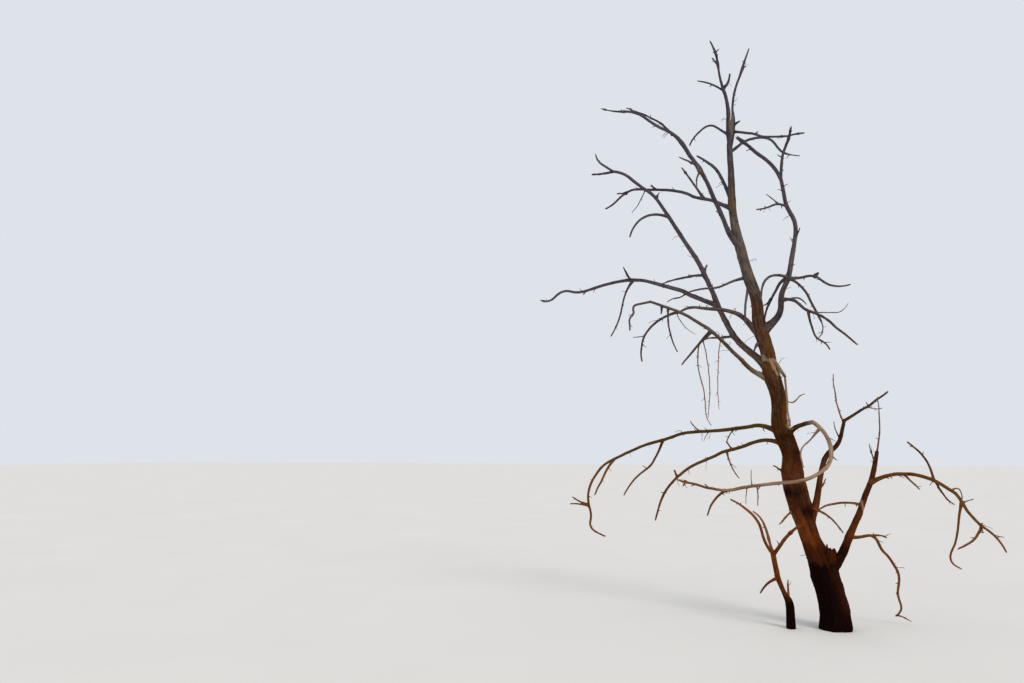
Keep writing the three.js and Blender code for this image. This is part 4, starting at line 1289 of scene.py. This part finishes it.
def bark_material(name, stops):
    material, tree, shader = node_tree(name)
    grain = attribute(tree, "grain").outputs["Vector"]
    cavity = attribute(tree, "cavity").outputs["Fac"]
    knot = attribute(tree, "knot").outputs["Fac"]
    bare = attribute(tree, "bare").outputs["Fac"]
    stain = attribute(tree, "stain").outputs["Fac"]
    place = add(tree, "ShaderNodeTexCoord").outputs["Object"]
    z = add(tree, "ShaderNodeSeparateXYZ", {0: place}).outputs[2]
    wander = add(tree, "ShaderNodeTexNoise", {"Vector": grain, "Scale": 6.0, "Detail": 3.0, "Roughness": 0.6}).outputs[0]
    high = maths(tree, "ADD", z, maths(tree, "MULTIPLY", maths(tree, "SUBTRACT", wander, 0.5), 0.55))
    high = maths(tree, "DIVIDE", high, HEIGHT_TOP, clamp=True)
    body = ramp(tree, high, [(h / HEIGHT_TOP, colour) for h, colour in stops])
    # redder and yellower stretches of bark
    hue = add(tree, "ShaderNodeTexNoise", {"Vector": grain, "Scale": 9.0, "Detail": 3.0, "Roughness": 0.55}).outputs[0]
    body = blend(tree, ramp(tree, hue, [(0.52, (0, 0, 0)), (0.68, (1, 1, 1))]), body, blend(tree, 1.0, body, (1.32, 1.00, 0.72), "MULTIPLY"))
    body = blend(tree, ramp(tree, hue, [(0.30, (1, 1, 1)), (0.44, (0, 0, 0))]), body, blend(tree, 1.0, body, (0.72, 0.74, 0.82), "MULTIPLY"))
    # long fibres and streaks
    stretch = add(tree, "ShaderNodeMapping", {"Vector": grain, "Scale": (1.0, 1.0, 0.10)}).outputs[0]
    fibre = add(tree, "ShaderNodeTexNoise", {"Vector": stretch, "Scale": 210.0, "Detail": 5.0, "Roughness": 0.62}).outputs[0]
    streak = add(tree, "ShaderNodeTexNoise", {"Vector": stretch, "Scale": 58.0, "Detail": 4.0, "Roughness": 0.6}).outputs[0]
    patch = add(tree, "ShaderNodeTexNoise", {"Vector": grain, "Scale": 15.0, "Detail": 5.0, "Roughness": 0.65}).outputs[0]
    crumb = add(tree, "ShaderNodeTexNoise", {"Vector": grain, "Scale": 420.0, "Detail": 3.0, "Roughness": 0.6}).outputs[0]
    light = maths(tree, "ADD", maths(tree, "MULTIPLY", maths(tree, "SUBTRACT", fibre, 0.5), 1.5),
                  maths(tree, "MULTIPLY", maths(tree, "SUBTRACT", streak, 0.5), 1.6))
    light = maths(tree, "ADD", light, maths(tree, "MULTIPLY", maths(tree, "SUBTRACT", crumb, 0.5), 0.7))
    gain = maths(tree, "ADD", 1.0, light)
    gain = maths(tree, "MAXIMUM", gain, 0.25)
    # fibre tone times painted shade in the bark's fissures
    shade = maths(tree, "MULTIPLY", gain, maths(tree, "ADD", 0.22, maths(tree, "MULTIPLY", cavity, 0.92)))
    shade = maths(tree, "MULTIPLY", shade, maths(tree, "SUBTRACT", 1.0, maths(tree, "MULTIPLY", knot, 0.45)))
    vector = tree.nodes.new("ShaderNodeVectorMath")
    vector.operation = "SCALE"
    tree.links.new(body, vector.inputs[0])
    tree.links.new(shade, vector.inputs["Scale"])
    bark = vector.outputs[0]
    # grey weathered patches where the outer bark has worn
    worn = ramp(tree, patch, [(0.52, (0, 0, 0)), (0.66, (1, 1, 1))])
    grey = blend(tree, 0.30, bark, (0.150, 0.118, 0.092))
    bark = blend(tree, maths(tree, "MULTIPLY", worn, ramp(tree, high, [(0.10, (0, 0, 0)), (0.55, (1, 1, 1))])), bark, grey)
    # near-black towards the foot of the trunk and shoot, darker patches on some limbs, and painted shade from the curl
    # on the trunk, partly dark bark
    bark = blend(tree, stain, bark, blend(tree, 0.04, DARKENING_AND_SHADE_COLOUR, bark))
    # bare wood, and painted highlights in the same pale colour
    wood = ramp(tree, maths(tree, "ADD", maths(tree, "MULTIPLY", fibre, 0.50), maths(tree, "MULTIPLY", streak, 0.50)),
                [(0.34, (0.105, 0.062, 0.036)), (0.47, (0.235, 0.160, 0.105)), (0.60, (0.370, 0.280, 0.200))])
    pink = blend(tree, ramp(tree, hue, [(0.40, (0, 0, 0)), (0.60, (1, 1, 1))]), wood, blend(tree, 1.0, wood, (1.05, 0.94, 0.86), "MULTIPLY"))
    colour = blend(tree, bare, bark, pink)
    tree.links.new(colour, shader.inputs["Base Color"])
    rough = maths(tree, "ADD", 0.78, maths(tree, "MULTIPLY", patch, 0.25), clamp=True)
    tree.links.new(rough, shader.inputs["Roughness"])
    shader.inputs["Specular IOR Level"].default_value = 0.03
    height = maths(tree, "ADD", maths(tree, "MULTIPLY", fibre, 0.6), maths(tree, "MULTIPLY", crumb, 0.5))
    height = maths(tree, "ADD", height, maths(tree, "MULTIPLY", streak, 0.8))
    bump = add(tree, "ShaderNodeBump", {"Height": height, "Strength": 0.55, "Distance": 0.0022})
    tree.links.new(bump.outputs[0], shader.inputs["Normal"])
    return material


def twig_material(name, colour, second):
    material, tree, shader = node_tree(name)
    place = add(tree, "ShaderNodeTexCoord").outputs["Object"]
    speck = add(tree, "ShaderNodeTexNoise", {"Vector": place, "Scale": 110.0, "Detail": 4.0, "Roughness": 0.6}).outputs[0]
    tone = attribute(tree, "tone").outputs["Fac"]
    mixed = maths(tree, "ADD", maths(tree, "MULTIPLY", tone, 0.62), maths(tree, "MULTIPLY", speck, 0.38))
    tint = ramp(tree, mixed, [(0.34, second), (0.60, colour)])
    tree.links.new(tint, shader.inputs["Base Color"])
    shader.inputs["Roughness"].default_value = 0.88
    shader.inputs["Specular IOR Level"].default_value = 0.03
    bump = add(tree, "ShaderNodeBump", {"Height": speck, "Strength": 0.35, "Distance": 0.0008})
    tree.links.new(bump.outputs[0], shader.inputs["Normal"])
    return material


warm = bark_material("warm_bark", TRUNK_BARK)
shoot = bark_material("dark_bark", SHOOT_BARK)
grey = bark_material("grey_bark", LIMB_BARK)
bare_wood = bark_material("bare_wood", LIMB_BARK)
TWIG_LOOKS = {
    "twigs_high": twig_material("twig_high", linear(66, 59, 62), linear(44, 38, 40)),
    "twigs_low": twig_material("twig_low", linear(92, 60, 34), linear(60, 36, 20)),
    "twigs_red": twig_material("twig_red", linear(98, 60, 32), linear(62, 36, 18)),
    "twigs_pale": twig_material("twig_pale", linear(124, 103, 79), linear(88, 69, 48)),
    "spurs_high": twig_material("spur_high", linear(64, 57, 58), linear(40, 34, 34)),
    "spurs_low": twig_material("spur_low", linear(74, 48, 26), linear(48, 28, 15)),
}

# ---- build it ----
MATERIALS = {"warm_bark": warm, "grey_bark": grey, "dark_bark": shoot, "bare_wood": bare_wood}
slots = {part["node"]: part["material_slot"] for part in frame["record"]["subparts"]}
triangles = {}
for index, row in enumerate(LIMBS):
    name = row[0]
    slot = slots.get(name, "grey_bark")
    piece = bark_limb(limbs[name], MATERIALS[slot], index)
    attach(piece, "root")
    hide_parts(name)
    triangles[piece.name] = sum(len(p.vertices) - 2 for p in piece.data.polygons)

for name, bundle in twig_bundles().items():
    verts = np.vstack(bundle.verts)
    piece = build_object(name, verts, bundle.faces, {"tone": np.concatenate(bundle.tone)}, TWIG_LOOKS[name])
    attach(piece, "root")
    triangles[piece.name] = bundle.triangles()
print("triangles", sum(triangles.values()), {k: v for k, v in triangles.items() if v > 20000})

# ---- floor, light, camera ----
def plain(name, colour, rough):
    material, tree, shader = node_tree(name)
    place = add(tree, "ShaderNodeTexCoord").outputs["Object"]
    soft = add(tree, "ShaderNodeTexNoise", {"Vector": place, "Scale": 0.6, "Detail": 3.0}).outputs[0]
    tint = ramp(tree, soft, [(0.3, tuple(c * 0.97 for c in colour)), (0.7, colour)])
    tree.links.new(tint, shader.inputs["Base Color"])
    shader.inputs["Roughness"].default_value = rough
    return material


FLOOR = 90.0
mesh = bpy.data.meshes.new("floor")
mesh.from_pydata([(-FLOOR, -FLOOR, 0), (FLOOR, -FLOOR, 0), (FLOOR, FLOOR, 0), (-FLOOR, FLOOR, 0)], [], [(0, 1, 2, 3)])
floor = bpy.data.objects.new("floor", mesh)
bpy.context.scene.collection.objects.link(floor)
floor.data.materials.append(plain("floor", (0.62, 0.60, 0.57), 0.9))
floor.location.z = -0.002

scene = bpy.context.scene
world = bpy.data.worlds.new("sky")
scene.world = world
world.use_nodes = True
world.node_tree.nodes["Background"].inputs[0].default_value = (0.86, 0.90, 0.96, 1)
world.node_tree.nodes["Background"].inputs[1].default_value = 0.85


def sun(name, azimuth, elevation, strength, angle, colour):
    lamp = bpy.data.lights.new(name, "SUN")
    lamp.energy, lamp.angle, lamp.color = strength, math.radians(angle), colour
    obj = bpy.data.objects.new(name, lamp)
    scene.collection.objects.link(obj)
    a, e = math.radians(azimuth), math.radians(elevation)
    towards = np.array([math.cos(e) * math.cos(a), math.cos(e) * math.sin(a), math.sin(e)])
    obj.rotation_euler = mathutils.Vector(towards).to_track_quat("Z", "Y").to_euler()
    return obj


import mathutils
sun("key", -35, 42, 1.9, 22, (1.0, 0.96, 0.90))
sun("fill", -140, 35, 0.35, 60, (0.90, 0.95, 1.0))

LENS, SENSOR = 28.0, 36.0
CAMERA = (0.0, -7.6, 1.5)
TURN, TILT = 21.18, 7.9                    # degrees to the left and up
cam = bpy.data.cameras.new("camera")
cam.lens, cam.sensor_width, cam.sensor_fit = LENS, SENSOR, "HORIZONTAL"
cam.clip_end = 500
camera = bpy.data.objects.new("camera", cam)
camera.location = CAMERA
camera.rotation_euler = (math.radians(90 + TILT), 0, math.radians(TURN))
scene.collection.objects.link(camera)
scene.camera = camera
scene.view_settings.view_transform = "Standard"
scene.view_settings.look = "None"
